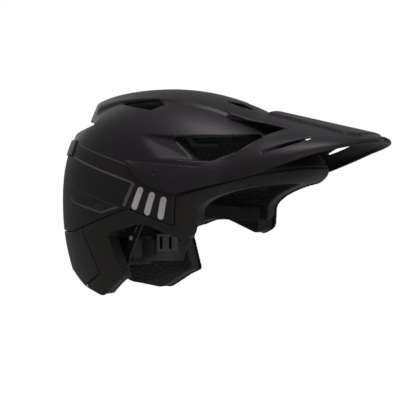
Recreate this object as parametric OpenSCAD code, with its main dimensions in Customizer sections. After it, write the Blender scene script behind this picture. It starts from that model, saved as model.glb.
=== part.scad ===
// Trail helmet with deep rear lobes, an adjustable visor and a dial fit system.
// +X points to the front, +Z up, and the origin is the centre of the head.

/* [Shell] */
// Distance from the head centre to the front of the shell
front_reach = 151.6; // [144:0.2:158]
// Distance from the head centre to the back of the shell
rear_reach = 144.6; // [138:0.2:150]
// Half of the greatest width of the shell
half_width = 108; // [103:0.5:112]
// Height of the shell beside the raised panel
crown_height = 124.6; // [121:0.2:128]
// Wall of the outer shells
shell_wall = 2.2; // [1.6:0.1:2.8]
// Height of the raised panel along the crown
crest_rise = 2.4; // [1.6:0.1:2.8]
// How far the tail of the raised panel stands out behind the shell
tail_reach = 13; // [8:0.5:17]
// Width of the shut line between two shells
shut_line = 0.5; // [0.3:0.1:1]

/* [Rim] */
// Height of the brow edge above the head centre
brow_z = 29; // [26:0.5:32]
// Front edge of the post ahead of the ear
post_x = 47; // [44:0.5:52]
// Lowest point of the post ahead of the ear
post_z = -26; // [-30:0.5:-22]
// Top of the ear window
window_z = -12; // [-15:0.5:-9]
// Rear end of the ear window at its top
window_rear_x = -54; // [-58:0.5:-50]
// Lowest point of the lobes behind the ears
lobe_z = -86; // [-90:0.5:-80]
// Edge of the nape between the lobes
nape_z = -60; // [-66:0.5:-54]

/* [Foam] */
// Foam thickness at the forehead
foam_front = 37; // [30:0.5:42]
// Foam thickness behind the head
foam_rear = 32; // [28:0.5:36]
// Foam thickness beside the head
foam_side = 21.5; // [18:0.5:24]
// Foam thickness over the crown
foam_top = 26.5; // [22:0.5:30]

/* [Slip liner and pads] */
// Thickness of the slip liner
slip_wall = 0.8; // [0.6:0.1:1.2]
// Thickness of the comfort pads
pad_thick = 5; // [3:0.5:7]

/* [Visor] */
// Distance from the head centre to the nose of the visor
visor_reach = 206; // [195:1:215]
// Half of the width of the visor where its sides leave the shell
visor_half_width = 98; // [95:0.5:101]
// Wall of the visor
visor_wall = 2.5; // [2:0.1:3]
// Gap between the visor and the shell
visor_gap = 3.4; // [3:0.1:4]
// Place of the visor pivot ahead of the head centre
pivot_x = 5; // [2:0.5:8]
// Height of the visor pivot above the head centre
pivot_z = 37; // [35:0.5:39]
// Diameter of the visor pins
pin_d = 5.4; // [4.6:0.2:6]

/* [Fit system] */
// Room between the fit belts and the foam beside the head
belt_room = 18; // [17:0.5:19]
// Height of the fit belts
belt_h = 12; // [10:0.5:13]
// Thickness of the fit belts
belt_wall = 1.4; // [1.1:0.1:1.6]
// Height of the belts and the dial below the head centre
belt_z = -50; // [-52:0.5:-48]
// Distance of the belts' turning axis behind the head centre
belt_axis_x = -26; // [-28:0.5:-24]
// Diameter of the dial
dial_d = 26; // [22:0.5:28]
// Grips round the dial
dial_grips = 12; // [8:1:16]
// Pitch radius of the pinion
pinion_r = 3.5; // [3.2:0.1:3.8]

/* [Straps] */
// Width of the webbing
strap_w = 15; // [12:0.5:16]
// Thickness of the webbing
strap_t = 1.4; // [1:0.1:1.6]

/* [Hidden] */
$fn = 48;

fit = 0.3;
sides = 40;
ring_low = 4;
ring_high = 8;
plan_power = 2.25;
rise_power = 2.3;
back_power = 2.42;
far = 260;
mid_x = -7.9;
crown_lean = 19.5;
brow_roll = 0.058;
roll_z = 47;

outer = [front_reach - mid_x, rear_reach + mid_x, half_width, crown_height, mid_x, crown_lean, brow_roll];
crest = [
    outer[0], outer[1] + tail_reach, half_width, crown_height + crest_rise, mid_x, crown_lean, brow_roll
];
foam_gap = shell_wall + fit;
cavity = [
    front_reach - foam_gap - foam_front, rear_reach - foam_gap - foam_rear,
    half_width - foam_gap - foam_side, crown_height + crest_rise - foam_gap - foam_top, 0, 8, 0
];

function clamp01(t) = max(0, min(1, t));
function mix(a, b, t) = a + (b - a) * t;
function grown(s, g) = [s[0] + g, s[1] + g, s[2] + g, s[3] + g, s[4], s[5], s[6]];
function lat(s, z) = clamp01(z / s[3]);
function below_zero(z) = min(z, 0);
function mid_at(s, z) = s[4] - s[5] * pow(lat(s, z), 2);
function front_at(s, z) =
    mid_at(s, z) + s[0] * sqrt(1 - pow(lat(s, z), 2)) - 0.0006 * pow(below_zero(z), 2)
    - s[6] * pow(min(19, max(0, roll_z - z)), 2);
function round_at(s, z, n = rise_power) = pow(1 - pow(lat(s, z), n), 1 / n);
function back_at(s, z) = mid_at(s, z) - s[1] * round_at(s, z, back_power) + 0.0024 * pow(below_zero(z), 2);
function tuck(z) = 1 - pow(max(0, 30 - z) / 260, 2);
function side_at(s, z) = s[2] * round_at(s, z) * tuck(z);
function half_at(s, x, z) = x > mid_at(s, z) ? front_at(s, z) - mid_at(s, z) : mid_at(s, z) - back_at(s, z);
function power(v, n) = sign(v) * pow(abs(v), n);

// Point of a dome at the plan angle a and the height z
function dome_point(s, a, z) =
    let(c = cos(a), n = sin(a), m = mid_at(s, z))
    [
        m + (c > 0 ? front_at(s, z) - m : m - back_at(s, z)) * power(c, 2 / plan_power),
        side_at(s, z) * power(n, 2 / plan_power),
        z
    ];

// Half width of a dome at the place x and the height z
function side_y(s, x, z) =
    let(u = abs(x - mid_at(s, z)) / half_at(s, x, z))
    side_at(s, z) * pow(max(0, 1 - pow(u, plan_power)), 1 / plan_power);

function inside(s, x, y, z) = z < s[3] && side_at(s, z) > 0.01 && abs(y) < side_y(s, x, z);

// Height of a dome over the plan point x, y
function top_z(s, x, y, lo = 0, hi = 200, n = 16) =
    let(m = (lo + hi) / 2)
    n == 0 ? lo : inside(s, x, y, m) ? top_z(s, x, y, m, hi, n - 1) : top_z(s, x, y, lo, m, n - 1);

// Closed solid between two grids of points of the same size
module skin(upper, lower) {
    rows = len(upper);
    cols = len(upper[0]);
    half = rows * cols;
    points = [for (grid = [upper, lower]) for (row = grid) for (p = row) p];
    function at(side, i, j) = side * half + i * cols + j;
    sheet = [for (i = [0 : rows - 2], j = [0 : cols - 2]) each [
        [at(0, i, j), at(0, i, j + 1), at(0, i + 1, j + 1)],
        [at(0, i, j), at(0, i + 1, j + 1), at(0, i + 1, j)],
        [at(1, i, j), at(1, i + 1, j + 1), at(1, i, j + 1)],
        [at(1, i, j), at(1, i + 1, j), at(1, i + 1, j + 1)]
    ]];
    row_ends = [for (j = [0 : cols - 2]) each [
        [at(0, 0, j), at(1, 0, j + 1), at(0, 0, j + 1)], [at(0, 0, j), at(1, 0, j), at(1, 0, j + 1)],
        [at(0, rows - 1, j), at(0, rows - 1, j + 1), at(1, rows - 1, j + 1)],
        [at(0, rows - 1, j), at(1, rows - 1, j + 1), at(1, rows - 1, j)]
    ]];
    col_ends = [for (i = [0 : rows - 2]) each [
        [at(0, i, 0), at(0, i + 1, 0), at(1, i + 1, 0)], [at(0, i, 0), at(1, i + 1, 0), at(1, i, 0)],
        [at(0, i, cols - 1), at(1, i + 1, cols - 1), at(0, i + 1, cols - 1)],
        [at(0, i, cols - 1), at(1, i, cols - 1), at(1, i + 1, cols - 1)]
    ]];
    polyhedron(points, concat(sheet, row_ends, col_ends), convexity = 6);
}

// Closed solid through a stack of rings, the lowest first
module loft(rings) {
    n = len(rings[0]);
    last = len(rings) - 1;
    faces = concat(
        [[for (j = [0 : n - 1]) j]],
        [for (i = [0 : last - 1], j = [0 : n - 1]) each [
            [i * n + j, (i + 1) * n + (j + 1) % n, i * n + (j + 1) % n],
            [i * n + j, (i + 1) * n + j, (i + 1) * n + (j + 1) % n]
        ]],
        [[for (j = [n - 1 : -1 : 0]) last * n + j]]
    );
    polyhedron([for (ring = rings) for (p = ring) p], faces, convexity = 6);
}

module dome(s, low = -100) {
    heights = concat(
        [for (i = [0 : ring_low - 1]) low * (1 - i / ring_low)],
        [for (i = [0 : ring_high]) s[3] * sin(88.5 * i / ring_high)]
    );
    loft([for (z = heights) [for (j = [0 : sides - 1]) dome_point(s, 360 * j / sides, z)]]);
}

module mirror_pair() {
    children();
    mirror([0, 1, 0]) children();
}

// Outlines as [x, z] seen from the side
lobe_x = -69;
lobe_front_x = window_rear_x + 15.5;
lobe_front_z = lobe_z + 20;
lobe_path = [
    [-far, nape_z], [-118, nape_z - 3], [lobe_x - 28, lobe_z + 8.5], [lobe_x - 3, lobe_z],
    [lobe_x + 0.5, lobe_z + 0.4], [lobe_x + 19.5, lobe_z + 14.5], [lobe_front_x, lobe_front_z]
];
window_rear = [window_rear_x, window_z - 10];
window_top = [lobe_front_x, window_z - 4.7];
window_path = [
    window_top, [-25, window_z], [-5, window_z], [post_x - 18, post_z], [post_x - 13, post_z],
    [post_x - 3, post_z + 5], [post_x, post_z + 11], [post_x + 0.1, brow_z - 28]
];
brow_x = 132;
face_steps = 8;
function face_point(t) = [mix(post_x + 0.1, brow_x, t), brow_z - 28 + 28 * pow(1 - pow(1 - t, 1.8), 1 / 1.8)];
face_path = concat([for (i = [0 : face_steps]) face_point(pow(i / face_steps, 1.5))], [[far, brow_z + 3]]);
function seam_path(gap) = [
    [-far, -21 + gap], [-103, -20.5 + gap], [-27, 4 + gap], [24 - gap, -13 + gap], [26 - gap, 17 + gap],
    [54, 26 + gap], [78, 32 + gap], [95, 37 + gap], [131, 44.6 + gap], [far, 52 + gap]
];
panel_seam = [[-87, -19], [-68.5, -62], [-95, -76.5], [-100, -110]];

// Vents and scoops as [x, z] on the right side, and top vents as [x, y]
vent_outline = [[22, 75], [47, 52], [58, 51.5], [80, 61], [97, 77]];
scoop_start = [[-18, 77.5], [1, 55.5]];
scoop_end = [[22, 75.5], [47, 52]];
scoop_depth = 6.5;
scoop_rib = 1.6;
crown_vent = [[-62, -54], [-44, -64], [-20, -70.5], [-8, -62], [-19, -55]];
front_vent = [[47, -27], [66, -26], [73, -12], [58, -8]];
exhaust_y = [12, 41];
notch_z = 90.5;
notch_depth = 12;
crest_plan = [
    [-140, 0], [-136, -40], [-100, -50], [-62, -51.5], [-20, -54], [30, -55], [58, -52], [76, -32], [84, 0]
];

module rod(p) {
    translate([p[0], 0, p[1]]) cube([0.02, 2 * far, 0.02], center = true);
}

// Everything under a side outline, right across the helmet
module under(path, shift_z = 0) {
    for (i = [0 : len(path) - 2])
        hull()
            for (p = [path[i], path[i + 1]], drop = [0, 2 * far])
                rod([p[0], p[1] + shift_z - drop]);
}

module zone(points) {
    hull()
        for (p = points)
            rod(p);
}

module point_hull(points) {
    hull()
        for (p = points)
            translate(p) cube(0.02, center = true);
}

// What the rim leaves open: under the lobes and the nape, the ear windows and the face
module rim_cut(raise = 0) {
    under(lobe_path, raise);
    under(window_path, raise);
    zone([
        window_rear + [raise * -0.5, raise], window_top + [1, raise],
        [lobe_front_x + 1, lobe_front_z + raise], [lobe_front_x - raise * 0.9, lobe_front_z]
    ]);
    under(face_path, raise);
}

function on_shell(p, depth) = [p[0], -(side_y(outer, p[0], p[1]) - depth), p[1]];

module side_vents(grow = 0) {
    mirror_pair()
        hull()
            for (p = vent_outline, y = [-40, -150])
                translate([p[0], y, p[1]]) cube(0.02 + 2 * grow, center = true);
}

module crown_vents() {
    function above(p) = [p[0], p[1], top_z(outer, p[0], p[1]) + 7];
    mirror_pair() {
        point_hull([for (p = crown_vent) each [above(p), [p[0] * 0.8, p[1] * 0.62, 55]]]);
        point_hull([for (p = front_vent) each [above(p), [p[0] * 0.75, p[1] * 0.9, 66]]]);
    }
}

// Slot under the tail of the crown, deepest at the back, and the blunt end of the tail above it
module tail_notch(depth) {
    function bite(a) = 1 - pow((a - 180) / 56, 4);
    function edge(a) = [
        dome_point(grown(outer, -depth * bite(a)), a, notch_z),
        dome_point(grown(outer, 14), a, notch_z + 1 + 6.5 * bite(a)),
        dome_point(grown(outer, 14), a, notch_z - 3 - 16 * bite(a))
    ];
    function blunt(a) = [
        dome_point(grown(outer, -5 * bite(a)), a, notch_z + 2.3),
        dome_point(grown(crest, 2 - bite(a)), a, notch_z + 17),
        dome_point(grown(outer, 20), a, notch_z + 1),
        dome_point(grown(outer, 20), a, notch_z + 17)
    ];
    for (a = [128 : 13 : 219]) {
        point_hull(concat(edge(a), edge(a + 13)));
        point_hull(concat(blunt(a), blunt(a + 13)));
    }
}

module exhaust_ports() {
    mirror_pair()
        point_hull([for (y = exhaust_y) each [
            [-135, -y, notch_z - 7], [-135, -y, notch_z - 1], [-60, -y * 0.8, 52], [-60, -y * 0.8, 62]
        ]]);
}

module scoop_cut(depth, back = 0, spread = 0) {
    function wide(path) = [path[0] + [0, spread], path[1] - [0, spread]];
    mirror_pair()
        point_hull(concat(
            [for (p = wide(scoop_start)) on_shell(p - [back, 0], back > 0 ? shell_wall : -0.7)],
            [for (p = wide(scoop_end)) on_shell(p + [back / 2, 0], depth)],
            [for (p = wide(scoop_end)) on_shell(p, -12)]
        ));
}

module scoop_walls() {
    low = scoop_depth + shell_wall;
    mirror_pair() {
        point_hull(concat(
            [for (p = scoop_start) on_shell(p, 0.5)], [for (p = scoop_start) on_shell(p, shell_wall + 0.3)],
            [for (p = scoop_end) on_shell(p, scoop_depth + 0.2)], [for (p = scoop_end) on_shell(p, low)]
        ));
        for (i = [0, 1])
            point_hull([for (z = [0, i == 0 ? scoop_rib : -scoop_rib]) each [
                on_shell(scoop_start[i] + [0, z], 0.4), on_shell(scoop_end[i] + [0, z], 0.2),
                on_shell(scoop_end[i] + [0, z], low)
            ]]);
    }
}

// Plan of the raised panel, drawn in by the wall where it is the inside of the panel
module crest_zone(inset) {
    left = [for (i = [len(crest_plan) - 2 : -1 : 1]) [crest_plan[i][0], -crest_plan[i][1]]];
    outline = concat(crest_plan, left);
    translate([0, 0, notch_z - 3 + inset / 2]) linear_extrude(height = crown_height)
        offset(delta = -inset) polygon(outline);
}

// Whole form of the shell at a depth below its outer face
module form(depth) {
    dome(grown(outer, -depth), -100 - 3 * depth);
    intersection() {
        dome(grown(crest, -depth), -10 - depth);
        crest_zone(depth);
    }
}

module shell_layer() {
    difference() {
        form(0);
        form(shell_wall);
    }
}

seat_d = 12;
bush_l = 14;
pivot_y = side_y(outer, pivot_x - seat_d / 2, pivot_z - seat_d / 2) + 0.1;

module along_y(p, from, to, d) {
    translate([p[0], -from, p[1]]) rotate([90, 0, 0]) cylinder(h = to - from, d = d, $fn = 32);
}

module upper_shell() {
    color([0.27, 0.25, 0.27])
        difference() {
            union() {
                difference() {
                    shell_layer();
                    scoop_cut(scoop_depth);
                }
                scoop_walls();
            }
            under(seam_path(shut_line / 2));
            side_vents();
            crown_vents();
            tail_notch(notch_depth);
            mirror_pair() along_y([pivot_x, pivot_z], pivot_y - 20, pivot_y + 10, seat_d + 2 * fit);
        }
}

module lower_layer() {
    intersection() {
        difference() {
            shell_layer();
            rim_cut();
        }
        under(seam_path(-shut_line / 2));
    }
}

module panel_zone(grow) {
    front = [for (p = panel_seam) p + [grow, 0]];
    zone([[-far, 30], [front[0][0], 30], front[0], front[1], [-far, front[1][1]]]);
    zone([[-far, front[1][1] + 0.1], front[1], front[2], [-far, front[2][1]]]);
    zone([[-far, front[2][1] + 0.1], front[2], front[3], [-far, front[3][1]]]);
}

module rim_shell() {
    color([0.21, 0.19, 0.18])
        difference() {
            lower_layer();
            panel_zone(shut_line / 2);
        }
}

module nape_shell() {
    color([0.2, 0.18, 0.18])
        intersection() {
            lower_layer();
            panel_zone(-shut_line / 2);
        }
}

slip_z = 16;
anchor_z = 46;
anchor_angles = [42, 138, 222, 318];
strap_points = [[30, -5], [-68, -5]];
guide_x = -34.5;
guide_z = -4;
peg_z = guide_z + 1;
guide_wall = side_y(cavity, guide_x - 16, guide_z - 4);

// Outward direction of a dome, and a child set on it with its Z axis along that direction
function dome_normal(s, a, z) =
    let(
        round = dome_point(s, a + 1, z) - dome_point(s, a - 1, z),
        up = dome_point(s, a, z + 1) - dome_point(s, a, z - 1), n = cross(round, up)
    )
    n / norm(n);

module on_wall(p, n) {
    translate(p) rotate([0, acos(n[2]), atan2(n[1], n[0])]) children();
}

function wall_angle(x) = -acos(sign(x) * pow(abs(x / (x > 0 ? cavity[0] : cavity[1])), plan_power / 2));

module slip_pegs(extra) {
    for (a = anchor_angles)
        on_wall(dome_point(cavity, a, anchor_z), dome_normal(cavity, a, anchor_z))
            translate([0, 0, -6]) cylinder(h = 14 + extra, d = 5 + 2 * extra, $fn = 24);
}

module strap_sockets(extra, low) {
    mirror_pair()
        for (p = strap_points)
            on_wall(dome_point(cavity, wall_angle(p[0]), p[1]), dome_normal(cavity, wall_angle(p[0]), 0))
                translate([0, 0, -low]) cylinder(h = low + 9 + extra, d = 7 + 2 * extra, $fn = 24);
}

// Slant of the foam behind the front edge of each post
module post_bevel() {
    marks = [[post_x + 2, -half_width, -4], [post_x - 14, 10 - cavity[2], -13]];
    mirror_pair()
        point_hull([for (m = marks, x = [0, 20]) each [m + [x, 0, 0], [m[0] + x, m[1], post_z - 14]]]);
}

module eps_liner() {
    dial_r = dial_d / 2 + 3.5;
    color([0.08, 0.08, 0.08])
        difference() {
            form(foam_gap);
            dome(cavity, -120);
            rim_cut(1.4);
            side_vents(0.2);
            crown_vents();
            tail_notch(notch_depth + 2.5);
            exhaust_ports();
            scoop_cut(scoop_depth + shell_wall + 1.6, 8, scoop_rib + 0.8);
            post_bevel();
            slip_pegs(fit);
            strap_sockets(fit, 6);
            mirror_pair() {
                along_y([pivot_x, pivot_z], pivot_y - bush_l - fit, pivot_y + 10, seat_d + 2 * fit);
                along_y([guide_x, peg_z], guide_wall - 6, guide_wall + 9, 5 + 2 * fit);
            }
            hull()
                for (z = [belt_z, belt_z - 40])
                    translate([dial_x - 10.6, 0, z]) rotate([0, 90, 0]) cylinder(h = 40, r = dial_r, $fn = 32);
            translate([dial_x - 3.1, -27, belt_z - 40]) cube([40, 54, 52]);
            translate([belt_axis_x, 0, belt_z - 40])
                cylinder(h = 40 + belt_h / 2 + 4, r = belt_out + 1.4);
            translate([-124, 0, 10]) rotate([0, 90, 0]) cylinder(h = 40, d = 5 + 2 * fit, $fn = 24);
        }
}

module slip_liner() {
    color([0, 0.42, 0.42])
        difference() {
            dome(grown(cavity, -fit));
            dome(grown(cavity, -fit - slip_wall), -110);
            under([
                [-far, slip_z], [post_x + 4, slip_z], [76, brow_z - 6], [98, brow_z - 1.5], [far, brow_z + 3]
            ]);
            side_vents(0.5);
            crown_vents();
            exhaust_ports();
            slip_pegs(0.4);
            translate([-130, 0, 10]) rotate([0, 90, 0]) cylinder(h = 60, d = 7, $fn = 24);
        }
}

module slip_anchors() {
    color([0.7, 0.7, 0.68])
        for (a = anchor_angles)
            on_wall(dome_point(cavity, a, anchor_z), dome_normal(cavity, a, anchor_z)) {
                translate([0, 0, -3.5]) cylinder(h = 1.4, d = 11);
                translate([0, 0, -2.2]) cylinder(h = 9.2, d = 5);
            }
}

// Patch of a dome between two plan angles and two heights, thinner at its rim
function patch_grid(s, a, z, n, m) =
    [for (i = [0 : n]) [for (j = [0 : m]) dome_point(s, mix(a[0], a[1], i / n), mix(z[0], z[1], j / m))]];

module dome_pad(s, thick, a, z, n = 10, m = 4) {
    skin(patch_grid(s, a, z, n, m), patch_grid(grown(s, -thick), a + [1.5, -1.5], z + [1.5, -1.5], n, m));
}

pad_seat = grown(cavity, -fit - slip_wall - 0.8);

module brow_pad() {
    color([0.1, 0.1, 0.1]) dome_pad(pad_seat, pad_thick, [-37, 37], [brow_z + 6, brow_z + 26], 14, 4);
}

module crown_pad() {
    function row(s, x, half) = [for (j = [0 : 8]) let(y = mix(-half, half, j / 8)) [x, y, top_z(s, x, y)]];
    color([0.1, 0.1, 0.1])
        skin(
            [for (i = [0 : 12]) row(pad_seat, mix(-58, 38, i / 12), 15)],
            [for (i = [0 : 12]) row(grown(pad_seat, -pad_thick), mix(-56.5, 36.5, i / 12), 13.5)]
        );
}

module side_pad() {
    dome_pad(pad_seat, pad_thick, [246, 296], [slip_z + 5, slip_z + 31], 8, 4);
}

module side_pad_right() {
    color([0.1, 0.1, 0.1]) side_pad();
}

module side_pad_left() {
    color([0.1, 0.1, 0.1]) mirror([0, 1, 0]) side_pad();
}

module rear_reflector() {
    color([0.5, 0.5, 0.5])
        skin(
            patch_grid(grown(outer, 1.5), [180 - 42, 180 + 42], [58, 74], 16, 2),
            patch_grid(grown(outer, 0.4), [180 - 42, 180 + 42], [58, 74], 16, 2)
        );
}

// Fit system, turned about a vertical axis behind the head centre
belt_r = cavity[2] - belt_room;
belt_out = belt_r + belt_wall;
cradle_r = belt_r - 3.5;
cradle_wall = 2;
cradle_back = cradle_r + cradle_wall;
housing_half = 22;
housing_h = belt_h + 6;
housing_back = belt_out + 4;
rack_root = pinion_r + 0.6;
belt_mid = belt_r + belt_wall / 2;
tooth_pitch = 2 * PI * pinion_r / 8;
tooth_step = tooth_pitch / belt_mid * 180 / PI;
dial_x = belt_axis_x - housing_back;

module arc_wall(r, wall, z, h, from, to) {
    translate([belt_axis_x, 0, z]) rotate([0, 0, 180 + from]) rotate_extrude(angle = to - from, $fn = 96)
        translate([r, 0]) square([wall, h]);
}

// Each belt is cut from one ring: seen from behind its strip with the rack, and from the side its arm
rack_teeth = [-3 : 7];
function belt_y(a) = -belt_mid * sin(a);

module rack_outline(up) {
    top = belt_h / 2;
    ends = [belt_y(-13), belt_y(34), belt_y(70)];
    tooth = [[0.55, 0], [0.4, -0.8], [-0.4, -0.8], [-0.55, 0]];
    scale([1, up])
        polygon(concat(
            [[ends[0], top], [ends[0], rack_root]],
            [for (k = rack_teeth, t = tooth) t + [belt_y((k + 0.5) * tooth_step), rack_root]],
            [[ends[1], rack_root], [ends[1] - 3, -top], [ends[2], -top], [ends[2], top]]
        ));
}

rivet_back = 17.7;

module arm_outline() {
    hinge_x = belt_axis_x - rivet_back;
    difference() {
        polygon([
            [-64, belt_z - 2], [-64, belt_z - belt_h / 2], [-48, belt_z - belt_h / 2], [-46, belt_z + 4],
            [-28, -10], [-27, -1], [-36, -1], [-39.5, -10],
            [-56, belt_z + belt_h / 2], [-64, belt_z + belt_h / 2]
        ]);
        translate([hinge_x, -26.7]) circle(d = 3.4);
        polygon([[-40.7, -22.5], [-38.1, -22.5], [-34.1, -14.5], [-36.7, -14.5]]);
    }
}

module fit_belt_solid(up) {
    intersection() {
        translate([belt_axis_x, 0, belt_z - belt_h]) difference() {
            cylinder(h = 70, r = belt_out, $fn = 96);
            translate([0, 0, -1]) cylinder(h = 72, r = belt_r, $fn = 96);
        }
        union() {
            translate([belt_axis_x - 90, 0, belt_z]) rotate([90, 0, 90])
                linear_extrude(height = 66) rack_outline(up);
            translate([0, -30, 0]) rotate([90, 0, 0]) linear_extrude(height = 60) arm_outline();
        }
    }
}

module fit_belt_right() {
    color([0.13, 0.13, 0.13]) fit_belt_solid(1);
}

module fit_belt_left() {
    color([0.13, 0.13, 0.13]) mirror([0, 1, 0]) fit_belt_solid(-1);
}

module belt_rivet() {
    a = asin(rivet_back / belt_mid);
    translate([belt_axis_x, 0, -26.7]) rotate([0, 0, -90 - a]) rotate([0, 90, 0]) {
        translate([0, 0, belt_r - 0.3]) cylinder(h = belt_wall + 0.6, d = 3);
        translate([0, 0, belt_out + 0.2]) cylinder(h = 0.7, d = 4.6);
        translate([0, 0, belt_r - 1]) cylinder(h = 0.7, d = 4.6);
    }
}

module belt_rivet_right() {
    color([0.6, 0.6, 0.58]) belt_rivet();
}

module belt_rivet_left() {
    color([0.6, 0.6, 0.58]) mirror([0, 1, 0]) belt_rivet();
}

module belt_guides() {
    wall_y = guide_wall - 0.7;
    color([0.1, 0.1, 0.1])
        mirror_pair() {
            difference() {
                translate([guide_x - 16, -wall_y, guide_z - 4]) cube([30, wall_y - belt_r + 4, 10]);
                translate([belt_axis_x, 0, guide_z - 5]) difference() {
                    cylinder(h = 9, r = belt_out + 0.5, $fn = 96);
                    translate([0, 0, -1]) cylinder(h = 12, r = belt_r - 0.5, $fn = 96);
                }
            }
            along_y([guide_x, peg_z], wall_y - 1, wall_y + 8, 5);
        }
}

module cradle() {
    top = belt_z + 21;
    low = belt_z - 9;
    side = arc_angle(42, cradle_r);
    color([0.12, 0.12, 0.12])
        difference() {
            arc_wall(cradle_r, cradle_wall, low, top - low, -side, side);
            for (m = [-1, 1])
                hull()
                    for (a = [arc_angle(16.4, cradle_r), arc_angle(32.7, cradle_r)], z = [belt_z - 3, belt_z + 13])
                        translate([belt_axis_x, 0, z]) rotate([0, 0, 180 + m * a]) rotate([0, 90, 0])
                            translate([0, 0, cradle_r - 4]) cylinder(h = 10, d = 6, $fn = 24);
        }
}

module cradle_pad() {
    end = arc_angle(37, cradle_r);
    function side(r, in) = [for (i = [0 : 12]) let(a = mix(-end + in, end - in, i / 12)) [for (j = [0 : 3])
        [belt_axis_x - r * cos(a), -r * sin(a), belt_z + mix(-7 + in, 19 - in, j / 3)]]];
    color([0.1, 0.1, 0.1]) skin(side(cradle_r - 0.3, 0), side(cradle_r - 4.5, 1.5));
}

module height_strip() {
    back = belt_axis_x - cradle_back - fit;
    top_x = back_at(pad_seat, 10) + 0.4;
    color([0.12, 0.12, 0.12])
        difference() {
            union() {
                hull() {
                    translate([back - 1.6, -7, belt_z + 10]) cube([1.6, 14, 9]);
                    translate([back - 1.6, -6, belt_z + 24]) cube([1.6, 12, 1]);
                }
                hull() {
                    translate([back - 1.6, -6, belt_z + 24]) cube([1.6, 12, 1]);
                    translate([top_x, -6, 3]) cube([1.8, 12, 1]);
                }
                translate([top_x, 0, 10]) rotate([0, 90, 0]) cylinder(h = 1.8, d = 14);
            }
            translate([top_x - 5, 0, 10]) rotate([0, 90, 0]) cylinder(h = 12, d = 5 + 2 * fit);
        }
}

module height_pin() {
    top_x = back_at(pad_seat, 10) + 0.4;
    color([0.6, 0.6, 0.58])
        translate([top_x, 0, 10]) rotate([0, 90, 0]) {
            translate([0, 0, 2.1]) cylinder(h = 1.2, d = 10);
            translate([0, 0, -11]) cylinder(h = 13.5, d = 5);
        }
}

module dial_housing() {
    color([0.1, 0.1, 0.1])
        difference() {
            intersection() {
                translate([dial_x, -housing_half, belt_z - housing_h / 2])
                    cube([18, 2 * housing_half, housing_h]);
                translate([dial_x - 1, 0, belt_z]) rotate([0, 90, 0]) cylinder(h = 30, r = housing_half + 1);
            }
            translate([belt_axis_x, 0, belt_z - housing_h])
                cylinder(h = 2 * housing_h, r = cradle_back + fit, $fn = 96);
            translate([belt_axis_x, 0, belt_z - belt_h / 2 - fit]) difference() {
                cylinder(h = belt_h + 2 * fit, r = belt_out + 0.4, $fn = 96);
                translate([0, 0, -1]) cylinder(h = belt_h + 4, r = belt_r - 0.4, $fn = 96);
            }
            translate([dial_x + 2.4, 0, belt_z]) rotate([0, 90, 0]) cylinder(h = 3.6, r = pinion_r + 1);
            translate([dial_x - 1, 0, belt_z]) rotate([0, 90, 0]) cylinder(h = 6, r = 2 + fit);
        }
}

module dial_knob() {
    knob_h = 8;
    color([0.15, 0.15, 0.15])
        translate([dial_x - fit, 0, belt_z]) rotate([0, -90, 0]) {
            difference() {
                union() {
                    cylinder(h = knob_h - 2, d = dial_d);
                    translate([0, 0, knob_h - 2]) cylinder(h = 2, d1 = dial_d, d2 = dial_d - 4);
                }
                for (k = [0 : dial_grips - 1])
                    rotate([0, 0, 360 * k / dial_grips]) translate([dial_d / 2 + 0.7, 0, -1])
                        cylinder(h = knob_h + 2, d = 3.6, $fn = 24);
                translate([0, 0, knob_h - 1.2]) cylinder(h = 2, d = dial_d - 10);
            }
            translate([0, 0, -3.2 - fit]) cylinder(h = 3.3 + fit, r = 2);
        }
}

module dial_pinion() {
    tooth = [[-1.2, -0.7], [0.3, -0.35], [0.3, 0.35], [-1.2, 0.7]];
    color([0.5, 0.5, 0.48])
        translate([dial_x + 3.2, 0, belt_z]) rotate([0, 90, 0])
            linear_extrude(height = belt_wall + 0.9) {
                circle(r = pinion_r - 0.6);
                for (k = [0 : 7])
                    rotate([0, 0, 45 * k]) translate([pinion_r, 0]) polygon(tooth);
            }
}

// Visor, a wrapped blade whose sections are arches that close into the nose, its paths drawn for one reach
// and what lies ahead of the arms is stretched to the reach that is set.
stretch_x = 57;
visor_start = 60;
visor_crown_z = 100.4;
visor_crown_x = 92;
visor_slope = -0.222;
nose_power = 2.35;
foot_path = [[25, 18.6], [96, 35.2], [165, 59], [207, 69.8], [220, 73.5]];
drawn_reach = foot_path[3][0];
arm_low_path = concat([[-30, 52], [-12, 32.5], [1.5, 26]], foot_path);
arm_top_path = [
    [-30, 54], [-12, 51.5], [29, 48.5], [47, 46.8], [57, 50], [80, 59], [95, 66.5], [104, 73.5],
    [128, 82], [161, 76], [207, 73]
];
blade_low_path = [[50, 99], [57, 97.5], [106, 74.5], [128, 79], [161, 74], [207, 70]];

function path_z(path, x) = lookup(x, path);
function visor_x(x) =
    x < stretch_x ? x : mix(stretch_x, visor_reach, (x - stretch_x) / (drawn_reach - stretch_x));
function arch_w(x, t) =
    (visor_half_width - t)
    * pow(1 - pow(clamp01((x - visor_start) / (drawn_reach - t - visor_start)), nose_power), 1 / nose_power);
function arch_top(x, t) = visor_crown_z - t + visor_slope * (x - visor_crown_x);
function arch_foot(x) = path_z(concat([[-40, 3]], foot_path), x);
function arch_angle(x, z) = asin(clamp01((z - arch_foot(x)) / (arch_top(x, 0) - arch_foot(x))));

// Pushes a section point out until it clears the shell
function clear_scale(s, x, y, z, hub, lo = 1, hi = 1.7, n = 12) =
    n == 0 ? hi :
    let(m = (lo + hi) / 2)
    inside(s, x, y * m, hub + (z - hub) * m) ? clear_scale(s, x, y, z, hub, m, hi, n - 1)
        : clear_scale(s, x, y, z, hub, lo, m, n - 1);
function visor_point(x, phi, t) =
    let(
        y = -arch_w(x, t) * cos(phi), z = mix(arch_foot(x), arch_top(x, t), sin(phi)),
        hub = min(z, 55), u = visor_x(x), s = grown(outer, visor_gap + visor_wall - t),
        k = inside(s, u, y, z) ? clear_scale(s, u, y, z, hub) : 1
    )
    [u, y * k, hub + (z - hub) * k];

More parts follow.
